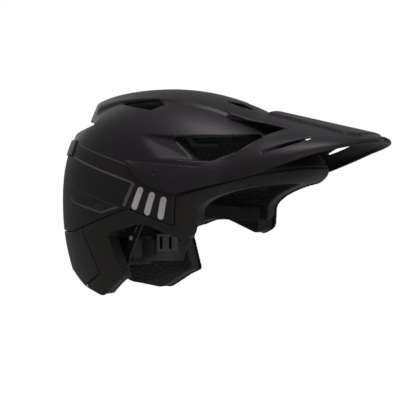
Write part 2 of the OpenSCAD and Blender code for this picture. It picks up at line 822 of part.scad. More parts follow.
function arm_row(x, t) =
    let(a = arch_angle(x, path_z(arm_low_path, x)), b = arch_angle(x, path_z(arm_top_path, x)))
    [for (j = [0 : 5]) visor_point(x, mix(a, b, j / 5), t)];
arm_x = concat(
    [-30, -24, -18, -12, 1.5, 13, 25, 36, 47, 57, 68, 80, 95, 106, 118],
    [for (i = [4 : 11]) visor_start + (drawn_reach - 1 - visor_start) * sin(90 * i / 11)]
);

blade_cols = 16;
blade_rows = 10;
function blade_x(u, v, t) =
    mix(stretch_x + 34 * (1 - pow(1 - v, 1.25)), drawn_reach - 0.6 - t, sin(90 * u));
function blade_point(u, v, t) =
    let(x = blade_x(u, v, t), a = arch_angle(x, path_z(blade_low_path, x)))
    visor_point(x, mix(a, 90, v), t);
function both_sides(u, t) = concat(
    [for (j = [0 : blade_rows]) blade_point(u, j / blade_rows, t)],
    [for (j = [blade_rows - 1 : -1 : 0]) let(p = blade_point(u, j / blade_rows, t)) [p[0], -p[1], p[2]]]
);

raise_h = 2.2;
raise_path = [[80, 19], [92, 22], [126, 27], [152, 31], [179, 38], [200, 24]];
function raised_row(x, lift) = [for (j = [-6 : 6])
    let(w = arch_w(x, 0), half = min(path_z(raise_path, x), 0.8 * w), phi = acos(half * abs(j) / 6 / w),
        p = visor_point(x, phi, 0))
    [p[0], sign(j) * abs(p[1]), p[2] + lift]];

module visor_arm() {
    skin([for (x = arm_x) arm_row(x, 0)], [for (x = arm_x) arm_row(x, visor_wall)]);
}

module visor_blade() {
    skin(
        [for (i = [0 : blade_cols]) both_sides(i / blade_cols, 0)],
        [for (i = [0 : blade_cols]) both_sides(i / blade_cols, visor_wall)]
    );
}

function on_visor(x, z, t) = visor_point(x, arch_angle(x, z), t);

module visor_recess() {
    tip = [66, 95];
    nose = [125, 84];
    low = [107, 77.5];
    point_hull([
        for (p = [tip, nose, low]) each [on_visor(p[0], p[1], 0.2), on_visor(p[0], p[1], -5)],
        on_visor(mix(tip[0], low[0], 0.35), mix(tip[1], low[1], 0.35), 1.5),
        on_visor(mix(tip[0], low[0], 0.9), mix(tip[1], low[1], 0.9), 1.5)
    ]);
}

module visor_slot() {
    rear = [[112, 58.9], [112, 60.1], [133, 65.6], [133, 68.6]];
    lead = [[132.9, 65.6], [132.9, 68.6], [153, 72.4], [155, 74.6]];
    for (part = [rear, lead])
        point_hull([for (p = part) each [on_visor(p[0], p[1], 6), on_visor(p[0], p[1], -6)]]);
}

module visor() {
    color([0.22, 0.21, 0.22])
        difference() {
            union() {
                visor_blade();
                mirror_pair() {
                    visor_arm();
                    along_y([pivot_x, pivot_z], pivot_y + washer_h + 0.4, bore_end, seat_d - 1);
                }
                skin(
                    [for (i = [0 : 10]) raised_row(mix(90, 192, i / 10), raise_h)],
                    [for (i = [0 : 10]) raised_row(mix(90, 192, i / 10), -1)]
                );
            }
            mirror_pair() {
                visor_recess();
                visor_slot();
                along_y([pivot_x, pivot_z], pivot_y - 5, bore_end, pin_d + 2 * fit);
            }
        }
}

washer_h = 0.6;
bore_end = side_y(grown(outer, visor_gap), pivot_x, pivot_z) + 1;

module visor_bushes() {
    color([0.62, 0.6, 0.55])
        mirror_pair() difference() {
            along_y([pivot_x, pivot_z], pivot_y - bush_l, pivot_y, seat_d);
            along_y([pivot_x, pivot_z], pivot_y - bush_l + 1.5, pivot_y + 1, pin_d + 0.2);
        }
}

module visor_pins() {
    color([0.55, 0.55, 0.55])
        mirror_pair() along_y([pivot_x, pivot_z], pivot_y - bush_l + 2, bore_end - fit, pin_d);
}

module pin_washers() {
    color([0.1, 0.1, 0.1])
        mirror_pair() difference() {
            along_y([pivot_x, pivot_z], pivot_y + 0.1, pivot_y + 0.1 + washer_h, seat_d - 1);
            along_y([pivot_x, pivot_z], pivot_y - 1, pivot_y + 3, pin_d + fit);
        }
}

// Webbing: a flat band along a route, its width held in the plane of the route.
// The straps are tucked inside, over the cradle pad, with the buckle closed at the back.
strap_gap = fit + strap_t / 2;
pad_face = cradle_r - 4.5;
chin_z = belt_z + 9;
divider_r = cradle_r - 3;
divider_a = arc_angle(56.9, divider_r);
divider_z = belt_z + 14;

function arc_angle(length, r) = length / r * 180 / PI;
function ring_point(a, r, z) = [belt_axis_x - r * cos(a), -r * sin(a), z];
function off_wall(x, z, d) = dome_point(cavity, wall_angle(x), z) - d * dome_normal(cavity, wall_angle(x), 0);

front_route = [
    off_wall(strap_points[0][0] + 6, strap_points[0][1], 2),
    off_wall(strap_points[0][0] - 6, strap_points[0][1], 2),
    [10, -(belt_r + 5.5), -4], [-4, -(belt_r - 0.5), -2.5], [-16, -(belt_r - 6), -1.5],
    [-30, -(belt_r - 9.5), -1], [-44, -(belt_r - 12.5), -5], [-54, -(belt_r - 15.5), -12],
    ring_point(divider_a + 3, divider_r - 2, divider_z + 19),
    ring_point(divider_a, divider_r - 1.2, divider_z + 13),
    ring_point(divider_a, divider_r - 1.2, divider_z + 9.8)
];
rear_route = [
    off_wall(strap_points[1][0], strap_points[1][1] + 5, 2),
    off_wall(strap_points[1][0], strap_points[1][1] - 5, 2.3),
    ring_point(divider_a + 1, divider_r + 2.2, divider_z + 18),
    ring_point(divider_a, divider_r + 1.2, divider_z + 13),
    ring_point(divider_a, divider_r + 1.2, divider_z + 9.8)
];
chin_marks = [[43.3, -1.4], [39, -1.6], [34.6, -2.6], [30.3, -3.1], [26, -2.6], [22.2, -1.2], [18.3, -1]];
chin_line = [for (m = chin_marks) [arc_angle(m[0], pad_face), m[1]]];
chin_route = [for (q = chin_line) ring_point(q[0], pad_face + q[1], chin_z)];

function route_grid(route, side, half_t) = [for (i = [0 : len(route) - 1])
    let(
        a = route[max(0, i - 1)], b = route[min(len(route) - 1, i + 1)], d = (b - a) / norm(b - a),
        r = [route[i][0] - belt_axis_x, route[i][1], 0], n = cross(cross(d, r), d), w = cross(n / norm(n), d)
    )
    [for (j = [0 : 2]) route[i] + n / norm(n) * side * half_t + w * strap_w * (j / 2 - 0.5)]];

module webbing(route) {
    skin(route_grid(route, 1, strap_t / 2), route_grid(route, -1, strap_t / 2));
}

module front_strap_right() {
    color([0.09, 0.09, 0.09]) webbing(front_route);
}

module front_strap_left() {
    color([0.09, 0.09, 0.09]) mirror([0, 1, 0]) webbing(front_route);
}

module rear_strap_right() {
    color([0.09, 0.09, 0.09]) webbing(rear_route);
}

module rear_strap_left() {
    color([0.09, 0.09, 0.09]) mirror([0, 1, 0]) webbing(rear_route);
}

module chin_strap_right() {
    color([0.09, 0.09, 0.09]) webbing(chin_route);
}

module chin_strap_left() {
    color([0.09, 0.09, 0.09]) mirror([0, 1, 0]) webbing(chin_route);
}

module strap_anchors() {
    color([0.15, 0.15, 0.15]) strap_sockets(0, 0.6);
}

module divider() {
    translate(ring_point(divider_a, divider_r, divider_z)) rotate([0, 0, divider_a - 90]) difference() {
        translate([-12, -2.2, -9.5]) cube([24, 4.4, 19]);
        for (x = [-8.5, 1.5])
            translate([x, -4, -6.5]) cube([3, 8, 13]);
    }
}

module divider_right() {
    color([0.14, 0.14, 0.14]) divider();
}

module divider_left() {
    color([0.14, 0.14, 0.14]) mirror([0, 1, 0]) divider();
}

buckle_x = belt_axis_x - sqrt(pow(pad_face, 2) - pow(17, 2)) + fit;

module buckle_socket() {
    color([0.12, 0.12, 0.12])
        translate([buckle_x, 0, chin_z]) difference() {
            translate([0, -4, -10]) cube([7, 21, 20]);
            translate([1.6, -5, -8]) cube([3.8, 18, 16]);
            for (m = [-1, 1])
                translate([2, 5, m * 9 - 2]) cube([3, 7, 4]);
        }
}

module buckle_plug() {
    color([0.12, 0.12, 0.12])
        translate([buckle_x, 0, chin_z]) {
            translate([0.6, -17, -9]) cube([5.8, 12.6, 18]);
            for (m = [-1, 1])
                translate([2, -4.5, m * 5.6 - 1.6]) cube([3, 16, 3.2]);
            translate([2, -4.5, -1.4]) cube([3, 12, 2.8]);
        }
}

module strap_keeper() {
    d = chin_route[4] - chin_route[2];
    color([0.07, 0.07, 0.07])
        translate(chin_route[3]) rotate([0, 0, atan2(d[1], d[0])]) difference() {
            cube([5, strap_t + 4, strap_w + 4.6], center = true);
            cube([7, strap_t + 1.4, strap_w + 1], center = true);
        }
}

module chin_pad() {
    function face(depth, in) = [for (i = [1 : 5])
        let(q = chin_line[i], r = pad_face + q[1] - strap_gap - depth)
        let(p = ring_point(q[0] + (3 - i) * in / 2, r, chin_z))
        [for (j = [-1 : 1]) [p[0], -p[1], p[2] + j * (10 - in)]]];
    color([0.1, 0.1, 0.1]) skin(face(0, 0), face(3, 1));
}

upper_shell();
rim_shell();
nape_shell();
eps_liner();
slip_liner();
slip_anchors();
rear_reflector();
brow_pad();
crown_pad();
side_pad_right();
side_pad_left();
cradle_pad();
cradle();
height_strip();
height_pin();
dial_housing();
dial_knob();
dial_pinion();
fit_belt_right();
fit_belt_left();
belt_rivet_right();
belt_rivet_left();
belt_guides();
visor();
visor_bushes();
visor_pins();
pin_washers();
front_strap_right();
front_strap_left();
rear_strap_right();
rear_strap_left();
chin_strap_right();
chin_strap_left();
strap_anchors();
divider_right();
divider_left();
buckle_socket();
buckle_plug();
strap_keeper();
chin_pad();
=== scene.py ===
import math
from functools import reduce

import bmesh
import bpy
import numpy as np
import openvdb as vdb
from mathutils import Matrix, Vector


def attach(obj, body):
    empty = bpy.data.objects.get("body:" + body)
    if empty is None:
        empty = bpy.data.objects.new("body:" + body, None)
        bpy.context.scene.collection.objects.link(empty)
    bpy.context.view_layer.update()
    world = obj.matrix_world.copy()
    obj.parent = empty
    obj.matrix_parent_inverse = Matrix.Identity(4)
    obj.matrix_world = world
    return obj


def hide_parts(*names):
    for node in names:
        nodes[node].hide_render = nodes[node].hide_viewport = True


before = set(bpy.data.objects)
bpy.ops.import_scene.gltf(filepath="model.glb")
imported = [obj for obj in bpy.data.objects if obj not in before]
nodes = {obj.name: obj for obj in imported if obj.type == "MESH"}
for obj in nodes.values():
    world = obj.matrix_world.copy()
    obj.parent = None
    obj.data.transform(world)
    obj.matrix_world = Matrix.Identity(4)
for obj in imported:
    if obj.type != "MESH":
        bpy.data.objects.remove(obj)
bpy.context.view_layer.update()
scene = bpy.context.scene

# Sizes repeated from the part's source, in millimetres. A dome is front, rear, half width, height, middle, lean, roll.
MM = 0.001
FRONT, REAR, HALF, HEIGHT = 151.6, 144.6, 108.0, 124.6
MID_X, LEAN, ROLL, ROLL_Z = -7.9, 19.5, 0.058, 47.0
CREST_RISE, TAIL = 2.4, 13.0
WALL, FOAM_GAP, SHUT = 2.2, 2.5, 0.5
OUTER = (FRONT - MID_X, REAR + MID_X, HALF, HEIGHT, MID_X, LEAN, ROLL)
CREST = (OUTER[0], OUTER[1] + TAIL, HALF, HEIGHT + CREST_RISE, MID_X, LEAN, ROLL)
CAVITY = (FRONT - 39.5, REAR - 34.5, HALF - 24.0, HEIGHT + CREST_RISE - 29.0, 0.0, 8.0, 0.0)
PLAN, RISE, BACK_RISE = 2.25, 2.3, 2.42
VENT_REACH = 40  # the side vents end this far from the middle
CARVE_MARGIN = 6.0  # a cut's field is worked out this far past its hulls
# How widely cuts are blended in: in the thin sheets, at the seams, at holes through the shell, and in the foam.
SHEET_SOFT, SEAM_SOFT, HOLE_SOFT, FOAM_SOFT = 0.8, 0.9, 1.2, 1.5
FAR = 260.0
BROW_Z, POST_X, POST_Z, WINDOW_Z, WINDOW_X = 29.0, 47.0, -26.0, -12.0, -54.0
LOBE_X, LOBE_Z, NAPE_Z = -69.0, -86.0, -60.0
NOTCH_Z, NOTCH_DEPTH = 90.5, 12.0
PIVOT_X, PIVOT_Z = 5.0, 37.0
BELT_X, BELT_Z, BELT_R, BELT_WALL, BELT_H = -26.0, -50.0, CAVITY[2] - 18.0, 1.4, 12.0
DIAL_X, CRADLE_R = BELT_X - BELT_R - BELT_WALL - 4, BELT_R - 3.5
FIT, SLIP_WALL, SLIP_Z, PAD_THICK = 0.3, 0.8, 16.0, 5.0
PIVOT_HOLE_R, BOSS_R, BORE_R = 6.3, 5.5, 3
REFLECTOR_ANGLE, REFLECTOR_Z, REFLECTOR_FACES = 42, (58, 74), (0.4, 1.5)
POCKET_R, POCKET_HALF_X, POCKET_HALF_Y, POCKET_RISE = 16.5, 20, 27, 12


# ---------- the domes ----------
def grown(s, g):
    """A dome with g added to its front, rear, half width and height."""
    return (s[0] + g, s[1] + g, s[2] + g, s[3] + g, *s[4:])


def dome_axes(s, z):
    """Middle, front, back and half width of a dome at the heights z."""
    z = np.asarray(z, float)
    lat = np.clip(z / s[3], 0, 1)
    low = np.minimum(z, 0)
    mid = s[4] - s[5] * lat**2
    front = mid + s[0] * np.sqrt(1 - lat**2) - 0.0006 * low**2
    front = front - s[6] * np.clip(ROLL_Z - z, 0, 19) ** 2
    back = mid - s[1] * (1 - lat**BACK_RISE) ** (1 / BACK_RISE) + 0.0024 * low**2
    side = s[2] * (1 - lat**RISE) ** (1 / RISE) * (1 - (np.maximum(0, 30 - z) / FAR) ** 2)
    return mid, front, back, side


def signed_power(v, n):
    return np.sign(v) * np.abs(v) ** n


def dome_point(s, angle, z):
    """Point of a dome at the plan angle in degrees and the height z."""
    a = np.radians(np.asarray(angle, float))
    mid, front, back, side = dome_axes(s, z)
    c, n = np.cos(a), np.sin(a)
    x = mid + np.where(c > 0, front - mid, mid - back) * signed_power(c, 2 / PLAN)
    y = side * signed_power(n, 2 / PLAN)
    return np.stack(np.broadcast_arrays(x, y, np.asarray(z, float) + 0 * x), -1)


def side_y(s, x, z):
    """Half width of a dome at the place x and the height z."""
    mid, front, back, side = dome_axes(s, z)
    half = np.where(x > mid, front - mid, mid - back)
    u = np.abs(x - mid) / np.maximum(half, 1e-6)
    return side * np.maximum(0, 1 - u**PLAN) ** (1 / PLAN)


def inside(s, x, y, z):
    """Whether a place is inside a dome."""
    return (z < s[3]) & (np.abs(y) < side_y(s, x, np.minimum(z, s[3])))


def bisect(test, low, high, steps):
    """Closes in from both ends on the place where the test stops being true."""
    for _ in range(steps):
        half = (low + high) / 2
        true = test(half)
        low, high = np.where(true, half, low), np.where(true, high, half)
    return low, high


def top_z(s, x, y):
    """Height of a dome over the place x, y."""
    return bisect(lambda z: inside(s, x, y, z), np.zeros(np.shape(x)), np.full(np.shape(x), 200.0), 18)[0]


def dome_normal(s, angle, z):
    """Outward normal of a dome at the plan angle in degrees and the height z."""
    around = dome_point(s, angle + 1, z) - dome_point(s, angle - 1, z)
    n = np.cross(around, dome_point(s, angle, z + 1) - dome_point(s, angle, z - 1))
    return n / np.linalg.norm(n, axis=-1, keepdims=True)


def wall_angle(x):
    """Plan angle of the cavity's wall at the place x, on the right side."""
    reach = CAVITY[0] if x > 0 else CAVITY[1]
    return -math.degrees(math.acos(math.copysign(abs(x / reach) ** (PLAN / 2), x)))


# ---------- closed meshes of points ----------
def skin(upper, lower):
    """Points and faces of the closed solid between two grids of points of the same size."""
    rows, cols = upper.shape[:2]
    index = np.arange(rows * cols).reshape(rows, cols)

    def quads(i):
        return np.stack([i[:-1, :-1], i[:-1, 1:], i[1:, 1:], i[1:, :-1]], -1).reshape(-1, 4)

    low = index + rows * cols
    rim = np.concatenate([index[0, :-1], index[:-1, -1], index[-1, :0:-1], index[:0:-1, 0]])
    after = np.roll(rim, -1)
    faces = [quads(index), quads(low)[:, ::-1], np.stack([rim, rim + rows * cols, after + rows * cols, after], -1)]
    return np.concatenate([upper.reshape(-1, 3), lower.reshape(-1, 3)]), np.concatenate(faces)


def ring_stack(rings):
    """Points and faces of the closed solid through a stack of rings."""
    count, around = rings.shape[:2]
    index = np.arange(count * around).reshape(count, around)
    turned = np.roll(index, -1, 1)
    quads = np.stack([index[:-1], turned[:-1], turned[1:], index[1:]], -1).reshape(-1, 4)
    ends = [rings[0].mean(0), rings[-1].mean(0)]
    last = count * around
    caps = [
        np.stack([turned[0], index[0], np.full(around, last), np.full(around, last)], -1),
        np.stack([index[-1], turned[-1], np.full(around, last + 1), np.full(around, last + 1)], -1),
    ]
    return np.vstack([rings.reshape(-1, 3), ends]), quads, np.vstack(caps)[:, :3]


def dome_mesh(s, low=-104.0, below=60, above=100, around=360, top=89.7):
    """A closed dome from the height low up, with its counts of rings below and above 0 and of points around."""
    z = np.concatenate([np.linspace(low, 0, below)[:-1], s[3] * np.sin(np.radians(np.linspace(0, top, above)))])
    return ring_stack(dome_point(s, np.linspace(0, 360, around, endpoint=False)[None, :], z[:, None]))


# ---------- distance fields of the right half, mirrored when they are meshed ----------
class Space:
    """A box of samples over the right half of the helmet. y runs from the far right to the middle.

    The lowest x and z are given, and then the highest x and z with the greatest half width.
    """

    def __init__(self, low, high, pitch):
        self.pitch = pitch
        spans = (high[0] - low[0], high[2], high[1] - low[1])
        self.shape = tuple(int(span / pitch) + 1 for span in spans)
        self.x = low[0] + pitch * np.arange(self.shape[0])
        self.y = -pitch * (np.arange(self.shape[1])[::-1] + 0.5)
        self.z = low[1] + pitch * np.arange(self.shape[2])
        self.axes = self.at([slice(None)] * 3)
        self.origin = np.array([self.x[0], self.y[0], self.z[0]])

    def level_set(self, points, quads, triangles=None, reach=14.0):
        """Signed distance to a closed mesh, true to within reach of it."""
        there = (np.asarray(points) - self.origin) / self.pitch
        more = {} if triangles is None else {"triangles": triangles.astype(np.uint32)}
        grid = vdb.FloatGrid.createLevelSetFromPolygons(
            there.astype(np.float32), quads=quads.astype(np.uint32), transform=vdb.createLinearTransform(voxelSize=1.0),
            halfWidth=reach / self.pitch, **more
        )
        out = np.zeros(self.shape, np.float32)
        grid.copyToArray(out, ijk=(0, 0, 0))
        return out * self.pitch

    def part(self, low, high):
        """Slices of the samples inside a box."""
        return tuple(
            slice(int(np.searchsorted(a, lo)), int(np.searchsorted(a, hi, "right")))
            for a, lo, hi in zip((self.x, self.y, self.z), low, high)
        )

    def at(self, where):
        """The samples' places within three slices, one array along each axis."""
        x, y, z = where
        return self.x[x, None, None], self.y[None, y, None], self.z[None, None, z]


def smax(a, b, k):
    """The greater of two fields, blended over the width k where they meet."""
    h = np.maximum(k - np.abs(a - b), 0)
    return np.maximum(a, b) + h * h / (4 * k)


def smin(a, b, k):
    return -smax(-a, -b, k)


def hull_planes(points):
    """Planes of the convex hull of some points, as outward normals and offsets."""
    bm = bmesh.new()
    for p in points:
        bm.verts.new(p)
    bmesh.ops.convex_hull(bm, input=bm.verts)
    bm.normal_update()
    found = {}
    for face in bm.faces:
        if face.calc_area() > 1e-4:
            n = face.normal
            found[tuple(round(v, 3) for v in (*n, n.dot(face.verts[0].co)))] = (tuple(n), n.dot(face.verts[0].co))
    bm.free()
    centre = np.mean(points, 0)
    return [(np.array(n), d) if np.dot(n, centre) < d else (-np.array(n), -d) for n, d in found.values()]


def hull_field(space, where, points):
    """Field of a convex hull over the samples inside three slices."""
    x, y, z = space.at(where)
    return reduce(np.maximum, [n[0] * x + n[1] * y + n[2] * z - d for n, d in hull_planes(points)])


def carve_union(space, field, hulls, k):
    """Takes hulls that are joined, each a list of points, out of a field with an edge rounded by k."""
    points = np.array([p for h in hulls for p in h], float)
    where = space.part(points.min(0) - CARVE_MARGIN, points.max(0) + CARVE_MARGIN)
    if all(w.stop > w.start for w in where):
        cut = reduce(np.minimum, [hull_field(space, where, np.asarray(h, float)) for h in hulls])
        field[where] = smax(field[where], -cut, k)


def carve(space, field, hulls, k):
    """Takes separate hulls out of a field, one after another."""
    for points in hulls:
        carve_union(space, field, [points], k)


def rounded(field, passes):
    """A field smoothed along each of its axes."""
    for _ in range(passes):
        for axis in range(field.ndim):
            padded = np.pad(field, [(1, 1) if n == axis else (0, 0) for n in range(field.ndim)], "edge")
            n = field.shape[axis]
            field = (np.take(padded, range(n), axis) + np.take(padded, range(2, n + 2), axis) + 2 * field) / 4
    return field


def outline_field(u, v, outline, blur=0):
    """Signed distance in a plane to a closed outline, negative inside, with its corners rounded by blur passes."""
    p = np.asarray(outline, float)
    q = np.roll(p, -1, 0)
    best = np.full(np.broadcast(u, v).shape, 1e9)
    odd = np.zeros(best.shape, bool)
    for (ax, ay), (bx, by) in zip(p, q):
        dx, dy = bx - ax, by - ay
        t = np.clip(((u - ax) * dx + (v - ay) * dy) / (dx * dx + dy * dy), 0, 1)
        best = np.minimum(best, (u - ax - t * dx) ** 2 + (v - ay - t * dy) ** 2)
        if ay != by:
            odd ^= ((ay > v) != (by > v)) & (u < dx * (v - ay) / dy + ax)
    return rounded(np.where(odd, -1, 1) * np.sqrt(best), blur)


def under(path):
    """Outline of everything under a side path."""
    return [(path[0][0], -FAR), *path, (path[-1][0], -FAR)]


def linked(name, data):
    """A new object that shows the data, in the scene."""
    obj = bpy.data.objects.new(name, data)
    scene.collection.objects.link(obj)
    return obj


def mesh_object(name, points, faces):
    """A smooth mesh object from points in millimetres."""
    mesh = bpy.data.meshes.new(name)
    mesh.from_pydata(np.asarray(points, float) * MM, [], faces)
    mesh.validate()
    mesh.shade_smooth()
    return linked(name, mesh)


def field_object(space, name, half):
    """Meshes a field of the right half together with its mirror image."""
    whole = np.concatenate([half, half[:, ::-1]], 1)
    whole = np.pad(whole, 1, constant_values=5.0).astype(np.float32)
    grid = vdb.FloatGrid()
    grid.copyFromArray(whole)
    points, quads = grid.convertToQuads(isovalue=0)
    points = space.origin + (points.astype(float) - 1) * space.pitch
    return mesh_object(name, points, quads)


# ---------- shell, rim and foam ----------
helmet = Space((-166, -92), (156, 134, 114), 1.25)
HX, HY, HZ = helmet.axes
side_x, side_z = helmet.x[:, None], helmet.z[None, :]
plan_x, plan_y = helmet.x[:, None], helmet.y[None, :]

lobe_front = (WINDOW_X + 15.5, LOBE_Z + 20)
lobe_path = [
    (-FAR, NAPE_Z), (-118, NAPE_Z - 3), (LOBE_X - 28, LOBE_Z + 8.5), (LOBE_X - 3, LOBE_Z),
    (LOBE_X + 0.5, LOBE_Z + 0.4), (LOBE_X + 19.5, LOBE_Z + 14.5), lobe_front
]
window_rear = (WINDOW_X, WINDOW_Z - 10)
window_top = (WINDOW_X + 15.5, WINDOW_Z - 4.7)
window_path = [
    window_top, (-25, WINDOW_Z), (-5, WINDOW_Z), (POST_X - 18, POST_Z), (POST_X - 13, POST_Z), (POST_X - 3, POST_Z + 5),
    (POST_X, POST_Z + 11), (POST_X + 0.1, BROW_Z - 28)
]
face_path = [
    (POST_X + 0.1 + (132 - POST_X - 0.1) * t, BROW_Z - 28 + 28 * (1 - (1 - t) ** 1.8) ** (1 / 1.8))
    for t in [(i / 24) ** 1.5 for i in range(25)]
] + [(FAR, BROW_Z + 3)]
seam_path = [
    (-FAR, -21), (-103, -20.5), (-27, 4), (24, -13), (26, 17), (54, 26), (78, 32), (95, 37), (131, 44.6), (FAR, 52)
]
panel_seam = [(-87, -19), (-68.5, -62), (-95, -76.5), (-100, -110)]
vent_outline = [(15.5, 75), (41, 52), (58, 51.5), (80, 61), (97, 77)]
scoop_start, scoop_end = [(-20, 77.5), (-1, 55.5)], [(15.5, 75.5), (41, 52)]
crown_vent = [(-62, -54), (-44, -64), (-20, -70.5), (-8, -62), (-19, -55)]
front_vent = [(47, -27), (66, -26), (73, -12), (58, -8)]
crest_plan = [(-140, 0), (-136, -40), (-100, -50), (-62, -51.5), (-20, -54), (30, -55), (58, -52), (76, -32), (84, 0)]


def side_field(outline, blur=0):
    """An outline seen from the side, as a field over the helmet's samples."""
    return outline_field(side_x, side_z, outline, blur)[:, None, :]


def on_shell(p, depth):
    """A place on the right side of the shell, sunk by the depth."""
    return (p[0], -(float(side_y(OUTER, p[0], p[1])) - depth), p[1])


def crown_hull(outline, shrink, low):
    """A vent in the crown that narrows from its outline seen from above down to the height low."""
    top = [(x, y, float(top_z(OUTER, x, y)) + 7) for x, y in outline]
    return top + [(x * shrink[0], y * shrink[1], low) for x, y in outline]


def notch_hulls():
    """Slot under the tail, deepest at the back, and the blunt end of the tail above it."""
    start, end, step = 176, 232, 4

    def bite(a):  # how much of the cut is there at the plan angle a
        return 1 - ((a - 180) / 56) ** 4

    def off_dome(g, a, z):
        return dome_point(grown(OUTER, g), a, NOTCH_Z + z)

    def slot(a):
        b = bite(a)
        return [off_dome(-NOTCH_DEPTH * b, a, 0), off_dome(14, a, 1 + 6.5 * b), off_dome(14, a, -3 - 16 * b)]

    def blunt(a):
        b = bite(a)
        top = dome_point(grown(CREST, 2 - b), a, NOTCH_Z + 17)
        top = top * [1 - 0.085 * b, 1 - 0.085 * b, 1] + [0, 0, 7]
        return [off_dome(-4 * b, a, 2.3), top, off_dome(20, a, 1), off_dome(20, a, 24)]

    slots, ends = [], []
    for a in range(start, end, step):
        slots.append(slot(a) + slot(a + step))
        ends.append(blunt(a) + blunt(a + step))
    return slots, ends


outer_field = helmet.level_set(*dome_mesh(OUTER))
crest_field = helmet.level_set(*dome_mesh(CREST))
cavity_field = helmet.level_set(*dome_mesh(CAVITY, -124))
seam_field = side_field(under(seam_path), 1).astype(np.float32)
window_front = [window_rear, window_top, (lobe_front[0] + 1, lobe_front[1]), lobe_front]
opening = outline_field(side_x, side_z, under(lobe_path))
for outline in (under(window_path), window_front, under(face_path)):
    opening = np.minimum(opening, outline_field(side_x, side_z, outline))
opening = rounded(opening, 3)[:, None, :].astype(np.float32)
vent_field = np.maximum(side_field(vent_outline, 2), HY + VENT_REACH).astype(np.float32)
mirrored = [(x, -y) for x, y in crest_plan[-2:0:-1]]
crest_zone = outline_field(plan_x, plan_y, crest_plan + mirrored, 2)[:, :, None]
crest_zone = np.maximum(crest_zone, NOTCH_Z - 3 - HZ).astype(np.float32)
panel_outline = [(-FAR, 30), (panel_seam[0][0], 30), *panel_seam, (-FAR, panel_seam[3][1])]
panel_field = side_field(panel_outline).astype(np.float32)

astern = np.clip((-62 - HX) / 40, 0, 1)
form = smin(outer_field, smax(crest_field, crest_zone, 2 + 9 * astern), 2.5 + 9 * astern)
scoop = [on_shell(p, -0.7) for p in scoop_start] + [on_shell(p, 4.2) for p in scoop_end]
scoop += [on_shell(p, -12) for p in scoop_end]
shaped = form.copy()
carve(helmet, shaped, [scoop], HOLE_SOFT)
for cuts in notch_hulls():
    carve_union(helmet, shaped, cuts, FOAM_SOFT)
vents = [crown_hull(crown_vent, (0.8, 0.62), 55), crown_hull(front_vent, (0.75, 0.9), 66)]
ports = [
    [(x, -y * f, z) for y in (12, 41) for x, f, z in
     ((-135, 1, NOTCH_Z - 7), (-135, 1, NOTCH_Z - 1), (-60, 0.8, 52), (-60, 0.8, 62))]
]


upper = smax(shaped, -(shaped + WALL), SHEET_SOFT)
upper = smax(upper, SHUT / 2 - seam_field, SEAM_SOFT)
upper = smax(upper, -vent_field, HOLE_SOFT)
carve(helmet, upper, vents + ports, HOLE_SOFT)
pivot_hole = np.maximum(np.hypot(HX - PIVOT_X, HZ - PIVOT_Z) - PIVOT_HOLE_R, np.maximum(-120 - HY, HY + 90))
upper = np.maximum(upper, -pivot_hole)
upper_shell = field_object(helmet, "crown_shell_form", upper)

lower = smax(form, -(form + WALL), SHEET_SOFT)
lower = smax(lower, seam_field + SHUT / 2, SEAM_SOFT)
lower = smax(lower, -opening, HOLE_SOFT)
rim_shell = field_object(helmet, "rim_shell_form", smax(lower, SHUT / 2 - panel_field, SEAM_SOFT))
nape_shell = field_object(helmet, "nape_shell_form", smax(lower, panel_field + SHUT / 2, SEAM_SOFT))

foam = shaped + FOAM_GAP + 0.1
for cut in (-cavity_field, 1.4 - opening, -vent_field):
    foam = smax(foam, cut, FOAM_SOFT)
carve(helmet, foam, vents + ports, FOAM_SOFT)
ring = np.hypot(HX - BELT_X, HY) - (BELT_R + BELT_WALL + 1.4)
foam = smax(foam, -np.maximum(ring, HZ - (BELT_Z + BELT_H / 2 + 4)), 1.0)
pocket = np.hypot(HY, np.maximum(HZ - BELT_Z, 0)) - POCKET_R
pocket = np.maximum(np.abs(HX - DIAL_X - 9.4) - POCKET_HALF_X, pocket)
box = np.maximum(np.abs(HX - DIAL_X - 16.9) - POCKET_HALF_X, np.abs(HY) - POCKET_HALF_Y)
box = np.maximum(box, HZ - (BELT_Z + POCKET_RISE))
foam = smax(foam, -np.minimum(pocket, box), 2.0)
marks = [(POST_X + 2, -HALF, -4), (POST_X - 14, 10 - CAVITY[2], -13)]
bevel = [(x + d, y, z) for x, y, top in marks for d in (0, 20) for z in (top, POST_Z - 14)]
carve(helmet, foam, [bevel], HOLE_SOFT)
eps_liner = field_object(helmet, "foam_form", foam)

strip_angles = np.linspace(180 - REFLECTOR_ANGLE, 180 + REFLECTOR_ANGLE, 120)[:, None]
strip_z = np.linspace(*REFLECTOR_Z, 18)[None, :]
strip_faces = [dome_point(grown(OUTER, g), strip_angles, strip_z) for g in REFLECTOR_FACES]
rear_reflector = mesh_object("reflector_strip", *skin(*strip_faces))


# ---------- slip layer ----------
def closed_object(name, bm):
    """A mesh object from a closed bmesh, which is freed."""
    bmesh.ops.recalc_face_normals(bm, faces=bm.faces)
    mesh = bpy.data.meshes.new(name)
    bm.to_mesh(mesh)
    bm.free()
    return linked(name, mesh)


def solid_mesh(name, points, faces):
    """A mesh object from points in millimetres and faces of any number of corners."""
    bm = bmesh.new()
    made = [bm.verts.new(Vector(p) * MM) for p in np.asarray(points, float)]
    for face in faces:
        bm.faces.new([made[i] for i in face])
    return closed_object(name, bm)


def prism(outline, y_low, y_high):
    """A solid with the outline seen from the side, between two widths."""
    n = len(outline)
    points = [(x, y, z) for y in (y_low, y_high) for x, z in outline]
    faces = [tuple(range(n)), tuple(range(2 * n - 1, n - 1, -1))]
    return solid_mesh("cut", points, faces + [(i, (i + 1) % n, n + (i + 1) % n, n + i) for i in range(n)])


